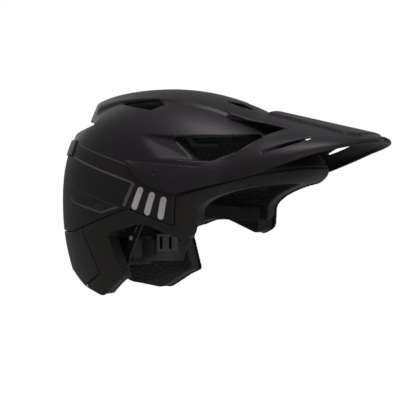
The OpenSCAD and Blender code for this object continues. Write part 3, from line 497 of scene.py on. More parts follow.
def hull_solid(points):
    """The convex hull of some points in millimetres."""
    bm = bmesh.new()
    for p in points:
        bm.verts.new(Vector(p) * MM)
    found = bmesh.ops.convex_hull(bm, input=bm.verts)
    bmesh.ops.delete(bm, geom=[v for v in found["geom_interior"] if isinstance(v, bmesh.types.BMVert)], context="VERTS")
    return closed_object("cut", bm)


def subtract(obj, cutters):
    """Takes the cutters out of a closed mesh and deletes them."""
    for cutter in cutters:
        cut = obj.modifiers.new("cut", "BOOLEAN")
        cut.operation, cut.solver, cut.object = "DIFFERENCE", "MANIFOLD", cutter
    shape = bpy.data.meshes.new_from_object(obj.evaluated_get(bpy.context.evaluated_depsgraph_get()))
    obj.modifiers.clear()
    old, obj.data = obj.data, shape
    shape.name = obj.name
    bpy.data.meshes.remove(old)
    for cutter in cutters:
        bpy.data.objects.remove(cutter)
    shape.shade_smooth()
    shape.set_sharp_from_angle(angle=math.radians(40))


def both_sides(points):
    return [points, [(x, -y, z) for x, y, z in points]]


def octagon(x, z, cut):
    """Outline of a window with its corners cut, as places seen from the side."""
    return [
        (x[0] + cut, z[0]), (x[1] - cut, z[0]), (x[1], z[0] + cut), (x[1], z[1] - cut),
        (x[1] - cut, z[1]), (x[0] + cut, z[1]), (x[0], z[1] - cut), (x[0], z[0] + cut)
    ]


def dome_solid(s, low):
    points, quads, caps = dome_mesh(s, low, 12, 60, 200, 89.5)
    return solid_mesh("slip_liner_film", points, quads.tolist() + caps.tolist())


def peg_hole(a):
    """Hole for a peg in the slip layer, at the plan angle a."""
    middle, n = dome_point(CAVITY, a, PEG_Z), dome_normal(CAVITY, a, PEG_Z)
    u = np.cross(n, (0, 0, 1))
    w = np.cross(n, u)
    turns = np.radians(np.arange(0, 360, 24))
    return [middle + n * d + PEG_R * (u * math.cos(t) + w * math.sin(t)) for t in turns for d in (-5, 5)]


PEG_Z, PEG_R = 46.0, 2.9
slip_edge = [(-FAR, SLIP_Z), (8, SLIP_Z), (22, 23), (60, 24.5), (80, 26.5), (98, BROW_Z + 1), (FAR, BROW_Z + 4)]
film_windows = [
    (octagon((-46, 35), (30, 67.8), 9), 20), (octagon((-34, 30), (71.5, 86), 5), 14),
    (octagon((-6, 80), (44, 84), 6), 14), (octagon((-82, -58), (30, 62), 8), 14),
]
film_holes = [h for side in (vents + ports) for h in both_sides([tuple(p) for p in side])]
film_holes += [peg_hole(a) for a in (42, 138, 222, 318)]
round_hole = [(3.5 * math.cos(t), 10 + 3.5 * math.sin(t)) for t in np.radians(range(0, 360, 30))]
film_holes.append([(x, y, z) for x in (-130, -70) for y, z in round_hole])
film = dome_solid(grown(CAVITY, -FIT), -20)
film_cuts = [dome_solid(grown(CAVITY, -FIT - SLIP_WALL), -60), prism(under(slip_edge), -FAR, FAR)]
for outline, near in film_windows + [(vent_outline, 30)]:
    film_cuts += [prism(outline, near, 150), prism(outline, -150, -near)]
subtract(film, film_cuts + [hull_solid(h) for h in film_holes])

# ---------- visor ----------
VISOR_REACH, VISOR_HALF, VISOR_WALL, VISOR_GAP, VISOR_START = 206.0, 98.0, 2.5, 3.4, 60.0
ARM_LEAN = 1.6
DRAWN_REACH, STRETCH_X, CROWN_Z = 207.0, 57.0, 100.4
foot_path = [(25, 18.6), (96, 35.2), (165, 59), (207, 69.8), (220, 73.5)]
arm_low_path = [(-30, 52), (-12, 32.5), (1.5, 26)] + foot_path
arm_top_path = [
    (-30, 54), (-12, 51.5), (29, 48.5), (47, 46.8), (57, 50), (80, 59), (95, 66.5), (104, 73.5), (128, 82),
    (161, 76), (207, 73)
]
blade_low_path = [(50, 99), (57, 97.5), (106, 74.5), (128, 79), (161, 74), (207, 70)]
raise_path = [(80, 19), (92, 22), (126, 27), (152, 31), (179, 38), (200, 24)]


def along(path, x, soft=2.0):
    """Height of a path at x, with its corners rounded."""
    px, pz = np.array(path, float).T
    return sum(np.interp(x + d, px, pz) for d in (-soft, 0, soft)) / 3


def arch_w(x, t):
    u = np.clip((x - VISOR_START) / (DRAWN_REACH - t - VISOR_START), 0, 1)
    return (VISOR_HALF - t) * (1 - u**2.35) ** (1 / 2.35)


def arch_top(x, t):
    return CROWN_Z - t - 0.222 * (x - 92)


def arch_foot(x):
    return along([(-40, 3)] + foot_path, x)


def arch_angle(x, z):
    foot = arch_foot(x)
    return np.arcsin(np.clip((z - foot) / (arch_top(x, 0) - foot), 0, 1))


def visor_point(x, phi, t, soft=0):
    """Point of the visor's skin, drawn at x, stretched to the reach and pushed out until it clears the shell.

    Over a grid, the push is evened out along x in as many passes as soft says.
    """
    x, phi = np.broadcast_arrays(np.asarray(x, float), phi)
    y = -arch_w(x, t) * np.cos(phi)
    foot = arch_foot(x)
    z = foot + (arch_top(x, t) - foot) * np.sin(phi)
    ahead = (x - STRETCH_X) / (DRAWN_REACH - STRETCH_X)
    x = np.where(x < STRETCH_X, x, STRETCH_X + ahead * (VISOR_REACH - STRETCH_X))
    hub = np.minimum(z, 55)
    s = grown(OUTER, VISOR_GAP + VISOR_WALL - t)
    push = bisect(lambda k: inside(s, x, y * k, hub + (z - hub) * k), np.ones(x.shape), np.full(x.shape, 1.7), 14)[1]
    k = np.where(inside(s, x, y, z), push, 1.0)
    for _ in range(soft):
        k[1:-1] = (k[:-2] + 2 * k[1:-1] + k[2:]) / 4
    return np.stack([x, y * k, hub + (z - hub) * k], -1)


def arm_grid(t):
    """Points of an arm at the depth t. The top of its outside leans inward."""
    ahead = VISOR_START + 146 * np.sin(np.radians(np.linspace(23.4, 90, 60)))
    x = np.sort(np.concatenate([np.linspace(-30, 118, 110)[:-1], ahead]))[:, None]
    a, b = arch_angle(x, along(arm_low_path, x)), arch_angle(x, along(arm_top_path, x))
    v = np.linspace(0, 1, 28)[None, :]
    lean = ARM_LEAN * np.clip((v - 0.5) / 0.5, 0, 1) * np.clip((110 - x) / 40, 0, 1) * (1 if t == 0 else 0.6)
    return visor_point(x, a + (b - a) * v, t + lean, 30)


def blade_grid(t):
    """Points of the blade at the depth t."""
    u, v = np.linspace(0, 1, 120)[:, None], np.linspace(0, 1, 56)[None, :]
    ahead = np.sin(np.pi / 2 * u)
    x = (STRETCH_X + 34 * (1 - (1 - v) ** 1.25)) * (1 - ahead) + (DRAWN_REACH - 0.6 - t) * ahead
    a = arch_angle(x, along(blade_low_path, x))
    right = visor_point(x, a + (np.pi / 2 - a) * v, t, 12)
    left = right[:, -2::-1] * [1, -1, 1]
    return np.concatenate([right, left], 1)


def raised_grid(lift):
    """Points of the blade's raised middle."""
    x, v = np.linspace(90, 192, 70)[:, None], np.linspace(-1, 1, 49)[None, :]
    w = arch_w(x, 0)
    half = np.minimum(along(raise_path, x), 0.8 * w)
    p = visor_point(x, np.arccos(half * np.abs(v) / w), 0)
    return np.stack([p[..., 0], np.sign(v) * np.abs(p[..., 1]), p[..., 2] + lift], -1)


def on_visor(x, z, t):
    """Point of the visor's skin at the depth t, drawn at x and z."""
    return visor_point(x, arch_angle(x, z), t)


peak = Space((-36, 8), (212, 112, 116), 0.8)
PX, PY, PZ = peak.axes
arm, blade, raised = (
    peak.level_set(*skin(grid(upper), grid(lower)), reach=8)
    for grid, upper, lower in ((arm_grid, 0, VISOR_WALL), (blade_grid, 0, VISOR_WALL), (raised_grid, 2.2, -1))
)
peak_field = smin(smin(arm, blade, 1.5), raised, 1.0)
outside = [(58, 90), (96, 71)]
edge = [(62, 95), (78.7, 93.2), (95.5, 91.9), (114.3, 87.8), (129, 84.5)]
inner = [(x, z - 0.5 - 1.9 * f, 0.3 + 2.2 * f) for f, (x, z) in zip((0, 0.25, 0.5, 0.78), edge)]
inner += [(108.5, 79.5, 2.4)] + [(*p, 2.4) for p in outside]
recess = [on_visor(*p, t) for p in edge + [(105.5, 75.5)] + outside for t in (0.1, -9)] + [on_visor(*p) for p in inner]
carve(peak, peak_field, [recess, [on_visor(*p[:2], t) for p in inner for t in (-9, 6)]], 0.4)
slot_hulls = [
    [on_visor(x, z, t) for x, z in part for t in (6, -6)]
    for part in (
        [(112, 58.9), (112, 60.1), (133, 65.6), (133, 68.6)], [(132.9, 65.6), (132.9, 68.6), (153, 72.4), (155, 74.6)]
    )
]
carve(peak, peak_field, slot_hulls, 1.0)
pivot_y = float(side_y(OUTER, PIVOT_X - 6, PIVOT_Z - 6)) + 0.1
bore_end = float(side_y(grown(OUTER, VISOR_GAP), PIVOT_X, PIVOT_Z)) + 1
around_pin = np.hypot(PX - PIVOT_X, PZ - PIVOT_Z)
boss = np.maximum(around_pin - BOSS_R, np.maximum(-bore_end - PY, PY + pivot_y + 1))
bore = np.maximum(around_pin - BORE_R, np.maximum(-bore_end - PY, PY + pivot_y - 5))
peak_field = smax(smin(peak_field, boss, 0.8), -bore, 0.4)
visor = field_object(peak, "visor_form", rounded(peak_field.astype(np.float32), 1))


# ---------- pads: a sewn flange and channels round padding that is blown up by cloth simulation ----------
PAD_SEAT = grown(CAVITY, -FIT - SLIP_WALL - 0.8)
FLANGE, PAD_SOFT = 2.2, 5.5


def outward(points, faces):
    """Turns the quads of a closed solid so that they face outward."""
    a, b, c, d = (points[faces[:, n]] for n in range(4))
    volume = (np.cross(a, b) * c).sum() + (np.cross(a, c) * d).sum()
    return faces if volume > 0 else faces[:, ::-1]


def make_pad(node, wall, face, size, channels, corner):
    """A pad between two surfaces of (along, across), both from 0 to 1, with its channels given in millimetres."""
    length, width = size
    cols, rows = max(40, int(length / 1.6)), max(14, int(width / 1.6))
    along_mm = np.linspace(0, length, cols)[:, None]
    end = np.minimum(along_mm, length - along_mm)
    tuck = corner - np.sqrt(np.maximum(corner**2 - np.maximum(corner - end, 0) ** 2, 0))
    across_mm = width / 2 + (width / 2 - tuck) * np.linspace(-1, 1, rows)[None, :]
    edge = np.minimum(end, np.minimum(across_mm - tuck, width - tuck - across_mm))
    for (ax, ay), (bx, by) in channels:
        dx, dy = bx - ax, by - ay
        t = np.clip(((along_mm - ax) * dx + (across_mm - ay) * dy) / (dx * dx + dy * dy), 0, 1)
        edge = np.minimum(edge, np.hypot(along_mm - ax - t * dx, across_mm - ay - t * dy) + FLANGE - 1.4)
    rise = np.clip((edge - FLANGE) / PAD_SOFT, 0, 1)
    depth = 0.28 + 0.44 * np.sqrt(1 - (1 - rise) ** 2)
    u, v = along_mm / length + 0 * across_mm, across_mm / width
    lower, upper = wall(u, v), face(u, v)
    points, faces = skin(lower + (upper - lower) * depth[..., None], lower)
    obj = mesh_object(node + "_padded", points, outward(points, faces))
    held = np.concatenate([rise.ravel() <= 0, np.ones(rise.size, bool)])
    obj.vertex_groups.new(name="held").add([int(i) for i in np.flatnonzero(held)], 1.0, "REPLACE")
    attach(obj, "helmet")
    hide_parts(node)
    return obj


def swell(pads):
    """Blows the pads up together, moves no point by more than the cap, and keeps the result in the meshes."""
    frames, cap, pressure = 20, 1.7, 3.0
    for pad in pads:
        cloth = pad.modifiers.new("cloth", "CLOTH")
        cloth.point_cache.frame_start, cloth.point_cache.frame_end = 1, frames
        cloth.collision_settings.use_collision = False
        settings = cloth.settings
        settings.quality, settings.mass, settings.bending_stiffness = 6, 0.2, 0.3
        settings.tension_stiffness = settings.compression_stiffness = settings.shear_stiffness = 12
        settings.vertex_group_mass = "held"
        settings.use_pressure, settings.uniform_pressure_force = True, pressure
        settings.effector_weights.gravity = 0
    for step in range(1, frames + 1):
        scene.frame_set(step)
    graph = bpy.context.evaluated_depsgraph_get()
    for pad in pads:
        count = len(pad.data.vertices)
        before, after = np.empty(count * 3, np.float32), np.empty(count * 3, np.float32)
        pad.data.vertices.foreach_get("co", before)
        pad.evaluated_get(graph).data.vertices.foreach_get("co", after)
        move = (after - before).reshape(-1, 3)
        far = np.linalg.norm(move, axis=1, keepdims=True)
        move = move * np.minimum(1, cap * MM / np.maximum(far, 1e-9))
        pad.modifiers.clear()
        pad.data.vertices.foreach_set("co", before + move.ravel())
        pad.data.update()
    scene.frame_set(1)


def dome_patch(s, a, z):
    return lambda u, v: dome_point(s, a[0] + (a[1] - a[0]) * u, z[0] + (z[1] - z[0]) * v)


def crown_patch(s, x, half):
    def surface(u, v):
        px, py = x[0] + (x[1] - x[0]) * u, half * (2 * v - 1)
        return np.stack([px, py, top_z(s, px, py)], -1)

    return surface


def ring_patch(r, a, z):
    def surface(u, v):
        turn = np.radians(a[0] + (a[1] - a[0]) * u)
        return np.stack([BELT_X - r * np.cos(turn), -r * np.sin(turn), z[0] + (z[1] - z[0]) * v], -1)

    return surface


def across(width, *places):
    """Channels right across a pad."""
    return [((x, 0), (x, width)) for x in places]


FACE = grown(PAD_SEAT, -PAD_THICK)
cradle_end = math.degrees(37 / CRADLE_R)


def dome_pad(node, a, z, size, corner, places):
    """A pad on the dome's wall, between the plan angles a and the heights z."""
    seat, face = dome_patch(PAD_SEAT, a, z), dome_patch(FACE, a, z)
    return make_pad(node, seat, face, size, across(size[1], *places), corner)


cradle_span = ((-cradle_end, cradle_end), (BELT_Z - 7, BELT_Z + 19))
pads = [
    dome_pad("brow_pad", (-37, 37), (BROW_Z + 6, BROW_Z + 26), (110, 21), 8, (22, 44, 66, 88)),
    make_pad("crown_pad", crown_patch(PAD_SEAT, (-58, 38), 15), crown_patch(FACE, (-57, 37), 14),
             (98, 30), across(30, 33, 65), 11),
    dome_pad("side_pad_right", (246, 296), (SLIP_Z + 5, SLIP_Z + 31), (80, 27), 9, (27, 53)),
    dome_pad("side_pad_left", (114, 64), (SLIP_Z + 5, SLIP_Z + 31), (80, 27), 9, (27, 53)),
    make_pad("cradle_pad", ring_patch(CRADLE_R - 0.3, *cradle_span), ring_patch(CRADLE_R - 4.5, *cradle_span),
             (74, 26), across(26, 25, 49), 9),
]
swell(pads)
for pad in pads:
    pad.modifiers.new("smooth", "SUBSURF").levels = 1


# ---------- webbing, and the sleeve on the chin strap ----------
STRAP_W, STRAP_T, CHIN_GAP = 15.0, 1.4, 1.1
pad_face, chin_z = CRADLE_R - 4.5, BELT_Z + 9
divider_r, divider_z = CRADLE_R - 3, BELT_Z + 14
divider_a = math.degrees(56.9 / divider_r)


def ring_point(a, r, z):
    return (BELT_X - r * math.cos(math.radians(a)), -r * math.sin(math.radians(a)), z)


def off_wall(x, z, d):
    a = wall_angle(x)
    return tuple(dome_point(CAVITY, a, z) - d * dome_normal(CAVITY, a, 0.0))


front_route = [
    off_wall(36, -5, 2), off_wall(24, -5, 2), (10, -(BELT_R + 5.5), -4), (-4, -(BELT_R - 0.5), -2.5),
    (-16, -(BELT_R - 6), -1.5), (-30, -(BELT_R - 9.5), -1), (-44, -(BELT_R - 12.5), -5), (-54, -(BELT_R - 15.5), -12),
    ring_point(divider_a + 3, divider_r - 2, divider_z + 19), ring_point(divider_a, divider_r - 1.2, divider_z + 13),
    ring_point(divider_a, divider_r - 1.2, divider_z + 9.8)
]
rear_route = [
    off_wall(-68, 0, 2), off_wall(-68, -10, 2.3), ring_point(divider_a + 1, divider_r + 2.2, divider_z + 18),
    ring_point(divider_a, divider_r + 1.2, divider_z + 13), ring_point(divider_a, divider_r + 1.2, divider_z + 9.8)
]
chin_marks = [(43.3, -1.4), (39, -1.6), (34.6, -2.6), (30.3, -3.1), (26, -2.6), (22.2, -1.2), (18.3, -1)]
chin_route = [ring_point(math.degrees(m / pad_face), pad_face + d, chin_z) for m, d in chin_marks]


def smooth_route(route):
    """Points at equal steps of about 1.2 mm along a smooth curve through the route, after their places on it."""
    p = np.asarray(route, float)
    p = np.vstack([2 * p[0] - p[1], p, 2 * p[-1] - p[-2]])
    t = np.linspace(0, 1, 24, endpoint=False)[:, None]
    parts = [
        0.5 * (2 * b + (c - a) * t + (2 * a - 5 * b + 4 * c - d) * t**2 + (3 * b - a - 3 * c + d) * t**3)
        for a, b, c, d in zip(p, p[1:], p[2:], p[3:])
    ]
    curve = np.vstack(parts + [p[-2:-1]])
    length = np.concatenate([[0], np.cumsum(np.linalg.norm(np.diff(curve, axis=0), axis=1))])
    places = np.linspace(0, length[-1], max(8, int(length[-1] / 1.2)))
    return places, np.stack([np.interp(places, length, curve[:, n]) for n in range(3)], -1)


def make_webbing(node, route, side):
    """A woven band with rounded edges, its width held in the plane of the route. Its UVs are millimetres."""
    places, line = smooth_route(route)
    d = np.gradient(line, axis=0)
    d /= np.linalg.norm(d, axis=1, keepdims=True)
    spoke = np.stack([line[:, 0] - BELT_X, line[:, 1], 0 * line[:, 0]], -1)
    n = np.cross(np.cross(d, spoke), d)
    n /= np.linalg.norm(n, axis=1, keepdims=True)
    w = np.cross(n, d)
    turn = np.linspace(0, 2 * np.pi, 40, endpoint=False)
    over = STRAP_W / 2 * signed_power(np.cos(turn), 0.45)
    thick = STRAP_T / 2 * signed_power(np.sin(turn), 0.7) * (1 - 0.25 * (np.abs(np.cos(turn)) > 0.93))
    rings = line[:, None] + w[:, None] * over[None, :, None] + n[:, None] * thick[None, :, None]
    points, quads, caps = ring_stack(rings * [1, side, 1])
    faces = quads.tolist() + caps.tolist()
    obj = mesh_object(node + "_webbing", points, faces if side < 0 else [f[::-1] for f in faces])
    mesh = obj.data
    along_uv = np.append(np.repeat(places, turn.size), [places[0], places[-1]])
    across_uv = np.append(np.tile(over, places.size), [0, 0])
    index = np.empty(len(mesh.loops), np.int32)
    mesh.loops.foreach_get("vertex_index", index)
    mesh.uv_layers.new(name="UVMap").data.foreach_set("uv", np.stack([along_uv[index], across_uv[index]], -1).ravel())
    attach(obj, "helmet")
    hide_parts(node)
    return obj


def chin_patch(depth):
    """The sleeve's surface over the chin strap, this far from it."""
    places, drops = zip(*chin_marks[1:6])

    def surface(u, v):
        place = places[0] + (places[-1] - places[0]) * u
        drop = np.interp(place, places[::-1], drops[::-1])
        turn, r = place / pad_face, pad_face + drop - CHIN_GAP - depth
        return np.stack([BELT_X - r * np.cos(turn), r * np.sin(turn), chin_z + 10 * (2 * v - 1) + 0 * u], -1)

    return surface


chin_pad = make_pad("chin_pad", chin_patch(0.3), chin_patch(3), (17, 20), [], 4)
chin_pad.modifiers.new("smooth", "SUBSURF").levels = 1
straps = [
    make_webbing(f"{kind}_strap_{hand}", route, side)
    for kind, route in (("front", front_route), ("rear", rear_route), ("chin", chin_route))
    for hand, side in (("right", 1), ("left", -1))
]


# ---------- materials ----------
class Tree:
    """The nodes of a material or a world, with short calls for what is used below."""

    def __init__(self, owner):
        owner.use_nodes = True
        self.owner, self.tree = owner, owner.node_tree

    def add(self, kind, inputs=(), **settings):
        node = self.tree.nodes.new("ShaderNode" + kind)
        for key, value in settings.items():
            setattr(node, key, value)
        for key, value in dict(inputs).items():
            self.put(value, node.inputs[key])
        return node

    def put(self, value, socket):
        if isinstance(value, bpy.types.NodeSocket):
            self.tree.links.new(value, socket)
        else:
            socket.default_value = value

    def maths(self, operation, *values, clamp=False):
        return self.add("Math", dict(enumerate(values)), operation=operation, use_clamp=clamp).outputs[0]


class Nodes(Tree):
    """A material's nodes."""

    def __init__(self, name):
        super().__init__(bpy.data.materials.new(name))
        self.shader = self.tree.nodes["Principled BSDF"]
        self.place = self.add("TexCoord").outputs["Object"]

    def vector(self, operation, a, b=None, scale=None):
        node = self.add("VectorMath", {0: a}, operation=operation)
        if b is not None:
            self.put(b, node.inputs[1])
        if scale is not None:
            self.put(scale, node.inputs["Scale"])
        return node.outputs["Value" if operation in ("DOT_PRODUCT", "LENGTH") else "Vector"]

    def noise(self, scale, detail=3.0):
        inputs = {"Vector": self.place, "Scale": scale, "Detail": detail, "Roughness": 0.55}
        return self.add("TexNoise", inputs).outputs["Fac"]

    def ramp(self, value, low, high, start=0.0, end=1.0):
        return self.add(
            "MapRange", {"Value": value, "From Min": low, "From Max": high, "To Min": start, "To Max": end},
            interpolation_type="SMOOTHSTEP"
        ).outputs["Result"]

    def blend(self, amount, a, b):
        node = self.add("Mix", data_type="RGBA")
        for value, socket in ((amount, node.inputs[0]), (a, node.inputs[6]), (b, node.inputs[7])):
            self.put(value, socket)
        return node.outputs[2]

    def mottle(self, noise, a, b):
        return self.blend(self.ramp(noise, 0.3, 0.7), a, b)

    def bump(self, height, strength, distance, normal=None):
        node = self.add("Bump", {"Height": height, "Strength": strength, "Distance": distance})
        if normal is not None:
            self.put(normal, node.inputs["Normal"])
        return node.outputs["Normal"]

    def finish(self, colour, roughness, normal=None, **settings):
        self.put(colour, self.shader.inputs["Base Color"])
        self.put(roughness, self.shader.inputs["Roughness"])
        if normal is not None:
            self.put(normal, self.shader.inputs["Normal"])
        for key, value in settings.items():
            self.shader.inputs[key.replace("_", " ")].default_value = value
        return self.owner


def grey(r, g=None, b=None):
    """A colour written as sRGB values out of 255."""
    rgb = (r, r if g is None else g, r if b is None else b)
    return tuple((c / 255 / 12.92) if c < 10.3 else ((c / 255 + 0.055) / 1.055) ** 2.4 for c in rgb) + (1.0,)


def shade(colour, factor):
    return tuple(c * factor for c in colour[:3]) + (1.0,)


def plastic(name, colour, rough=0.5, grain=900.0, strength=0.08, **settings):
    """Moulded plastic: fine grain, slow changes of shade and gloss, and sharp edges painted paler as a highlight."""
    n = Nodes(name)
    slow, fine = n.noise(28), n.noise(grain, 2.0)
    dark = shade(colour, 0.75)
    pale = tuple(min(1, c * 1.25) for c in colour[:3]) + (1.0,)
    base = n.mottle(slow, dark, pale)
    # Sharp edges are painted paler: a painted edge highlight.
    edge = n.ramp(n.add("NewGeometry").outputs["Pointiness"], 0.53, 0.6, 0.0, 0.35)
    base = n.blend(edge, base, tuple(min(1, 1.6 * c + 0.01) for c in colour[:3]) + (1.0,))
    gloss = n.maths("ADD", n.ramp(slow, 0.2, 0.8, -0.05, 0.05), n.ramp(fine, 0.3, 0.7, rough - 0.04, rough + 0.04))
    return n.finish(base, gloss, n.bump(fine, strength, 0.0002), **settings)


def stripe(n, flat, a, b, half_width):
    """Mask of a line from a to b, seen from the side, in millimetres."""
    soft = 0.0003
    a, b = np.array([a[0], 0, a[1]]) * MM, np.array([b[0], 0, b[1]]) * MM
    along_line = b - a
    rel = n.vector("SUBTRACT", flat, tuple(a))
    along_it = n.vector("DOT_PRODUCT", rel, tuple(along_line))
    t = n.maths("MULTIPLY", along_it, 1 / float(along_line @ along_line), clamp=True)
    off = n.vector("SUBTRACT", rel, n.vector("SCALE", tuple(along_line), scale=t))
    return n.ramp(n.vector("LENGTH", off), half_width * MM + soft, half_width * MM - soft)


def half_plane(n, flat, a, b):
    """Mask of what lies under the line from a to b, seen from the side, in millimetres."""
    soft = 0.0004
    d = np.array([b[0] - a[0], 0, b[1] - a[1]])
    normal = np.array([d[2], 0, -d[0]]) / np.linalg.norm(d)
    offset = float(normal @ (np.array([a[0], 0, a[1]]) * MM))
    return n.ramp(n.maths("SUBTRACT", n.vector("DOT_PRODUCT", flat, tuple(normal)), offset), -soft, soft)


def joined(n, operation, masks):
    """Masks joined one after another: by MAXIMUM for any of them, by MULTIPLY for all of them."""
    out = masks[0]
    for m in masks[1:]:
        out = n.maths(operation, out, m)
    return out


def patch(n, flat, corners):
    """Mask of a convex outline, seen from the side, in millimetres."""
    return joined(n, "MULTIPLY", [half_plane(n, flat, a, b) for a, b in zip(corners, corners[1:] + corners[:1])])


# Lines seen from the side that the blacker side panel lies under, each with where it fades in along x, in metres.
PANEL_LINES = [
    ((-104, 69.4), (-30, 48.2), (-0.016, -0.018)), ((-18, 44.7), (25, 18), (-0.019, -0.017)),
    ((25, 30), (131, 62), (0.0, 0.005)),
]


def shell_material(name, panel, lines, patches=()):
    """Satin shell: plum black over the crown, blacker on the side panel, with printed stripes and patches; one thin
    pale line along the panel's ridge is a painted highlight, and sharp edges are painted paler as a highlight.
    """
    n = Nodes(name)
    split = n.add("SeparateXYZ", {0: n.place})
    flat = n.add("CombineXYZ", {0: split.outputs[0], 2: split.outputs[2]}).outputs[0]
    slow, fine = n.noise(22), n.noise(1500, 2.0)
    crown = n.mottle(slow, grey(22, 19, 22), grey(26, 23, 26))
    side = n.mottle(slow, grey(20, 19, 19), grey(24, 23, 23))
    base, rough = crown, n.ramp(fine, 0.3, 0.7, 0.39, 0.45)
    if panel:
        below = joined(n, "MAXIMUM", [
            n.maths("MULTIPLY", half_plane(n, flat, a, b), n.ramp(split.outputs[0], *fade))
            for a, b, fade in PANEL_LINES
        ])
        base = n.blend(below, crown, side)
        rough = n.maths("ADD", rough, n.maths("MULTIPLY", below, 0.10))
    for colour, amount, segments in lines:
        mask = joined(n, "MAXIMUM", [stripe(n, flat, *s) for s in segments])
        base = n.blend(n.maths("MULTIPLY", mask, amount), base, colour)
    for colour, corners in patches:
        base = n.blend(patch(n, flat, corners), base, colour)
    # Sharp edges are painted paler: a painted edge highlight.
    edge = n.ramp(n.add("NewGeometry").outputs["Pointiness"], 0.53, 0.6, 0.0, 0.3)
    base = n.blend(edge, base, grey(62, 58, 62))
    normal = n.bump(fine, 0.1, 0.0001)
    return n.finish(base, rough, normal, Specular_IOR_Level=0.33, Specular_Tint=(1.0, 0.9, 0.98, 1.0))


def foam_material():
    n = Nodes("expanded_foam")
    cells = n.add("TexVoronoi", {"Vector": n.place, "Scale": 420.0})
    small = n.noise(1200, 2.0)
    bead = n.ramp(cells.outputs["Distance"], 0.0, 0.75, 1.0, 0.0)
    speck = n.ramp(n.noise(520, 1.0), 0.6, 0.72)
    base = n.blend(bead, grey(6), grey(22, 21, 21))
    base = n.blend(n.maths("MULTIPLY", speck, 0.5), base, grey(60, 54, 48))
    normal = n.bump(bead, 0.7, 0.0006, n.bump(small, 0.2, 0.0002))
    return n.finish(base, n.ramp(small, 0.3, 0.7, 0.5, 0.75), normal)


def fabric_material(name, colour):
    """Brushed knit over foam."""
    n = Nodes(name)
    knit = n.add("TexVoronoi", {"Vector": n.place, "Scale": 1400.0}).outputs["Distance"]
    slow = n.noise(60)
    base = n.mottle(slow, shade(colour, 0.6), colour)
    base = n.blend(n.ramp(knit, 0.2, 0.8, 0.0, 0.5), base, shade(colour, 0.4))
    return n.finish(base, 0.9, n.bump(knit, 0.5, 0.0003), Sheen_Weight=0.35, Sheen_Roughness=0.5)


def webbing_material():
    n = Nodes("webbing")
    uv = n.add("TexCoord").outputs["UV"]
    split = n.add("SeparateXYZ", {0: uv})
    rib = n.maths("SINE", n.maths("MULTIPLY", split.outputs[0], 2 * math.pi / 1.4))
    warp = n.maths("SINE", n.maths("MULTIPLY", split.outputs[1], 2 * math.pi / 1.1))
    weave = n.maths("MULTIPLY", rib, warp)
    edge = n.ramp(n.maths("ABSOLUTE", split.outputs[1]), 6.1, 6.6)
    base = n.blend(n.ramp(weave, -0.8, 0.8), grey(14), grey(36, 35, 36))
    base = n.blend(edge, base, grey(26, 25, 26))
    return n.finish(base, 0.75, n.bump(weave, 0.6, 0.0004), Sheen_Weight=0.3, Sheen_Roughness=0.4)


def metal_material(name, colour, rough):
    n = Nodes(name)
    fine = n.noise(900, 2.0)
    base = n.mottle(fine, shade(colour, 0.8), colour)
    return n.finish(base, n.ramp(fine, 0.2, 0.8, rough - 0.06, rough + 0.08), n.bump(fine, 0.05, 0.0001), Metallic=1.0)


PALE, BAR = grey(104, 101, 92), grey(240, 235, 237)
shell_lines = [
    (PALE, 0.9, [((-104, 55.5), (-21, 30.2), 0.95), ((-20, 28.6), (-30, 8.0), 1.9)]),
    (PALE, 0.85, [((-106, 14.5), (-99, 9.5), 1.05), ((-99, 9.5), (-59, 0), 1.05), ((-59, 0), (-39, 5.4), 1.2)]),
    (grey(64, 62, 60), 0.8, [((-111, 28), (-33.6, 4.8), 0.4)]),
    # The thin pale line along the side panel's edge is a painted highlight of the panel's ridge.
    (grey(84, 82, 80), 0.85, [((-100, 68.4), (-30.4, 48.3), 0.5)]),
    (BAR, 0.97, [((-11.5, 22.5), (-18, 6.5), 3.3), ((1.5, 17.6), (-4, 1), 3.3), ((14, 13), (10.5, -3), 3.3)]),
]
shell_patches = [(grey(46, 38, 35), [(-72, 5), (-64, 9.8), (-52.8, 6.8), (-60, 1.4)])]
finishes = {
    "crown": shell_material("satin_plum_black", True, shell_lines, shell_patches),
    "peak": shell_material("satin_plum_black_visor", False, []),
    "rim": plastic("warm_dark_grey", grey(34, 31, 29), 0.55, 1500, Specular_IOR_Level=0.3),
    "lobe": plastic("warm_dark_grey_lobe", grey(33, 29, 28), 0.5, 1500, Specular_IOR_Level=0.3),
    "foam": foam_material(),
    "film": plastic("slip_film", grey(0, 66, 68), 0.5, 400, 0.05),
    "pad": fabric_material("pad_fabric", grey(34, 33, 34)),
    "fit": plastic("fit_plastic", grey(38, 37, 37), 0.5, 1100),
    "dark": plastic("buckle_plastic", grey(28), 0.42, 1100),
    "pale": plastic("pale_plastic", grey(200, 198, 190), 0.4, 900),
    "grey": plastic("reflector_grey", grey(84, 78, 80), 0.5, 700, 0.02, Specular_IOR_Level=0.3),
    "rubber": plastic("rubber", grey(24), 0.75, 700, 0.3),
    "web": webbing_material(),
    "steel": metal_material("steel", grey(170), 0.3),
    "brass": metal_material("brass", grey(190, 170, 120), 0.35),
}


def pair(name):
    return [name + "_right", name + "_left"]


def dress(obj, finish, stands_for=None, body="helmet"):
    """Gives a CAD node its finish, or a visible form its finish and body, and hides the node it stands for."""
    obj.data.materials.clear()
    obj.data.materials.append(finishes[finish])
    if obj.name not in nodes:
        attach(obj, body)
        if stands_for:
            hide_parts(stands_for)


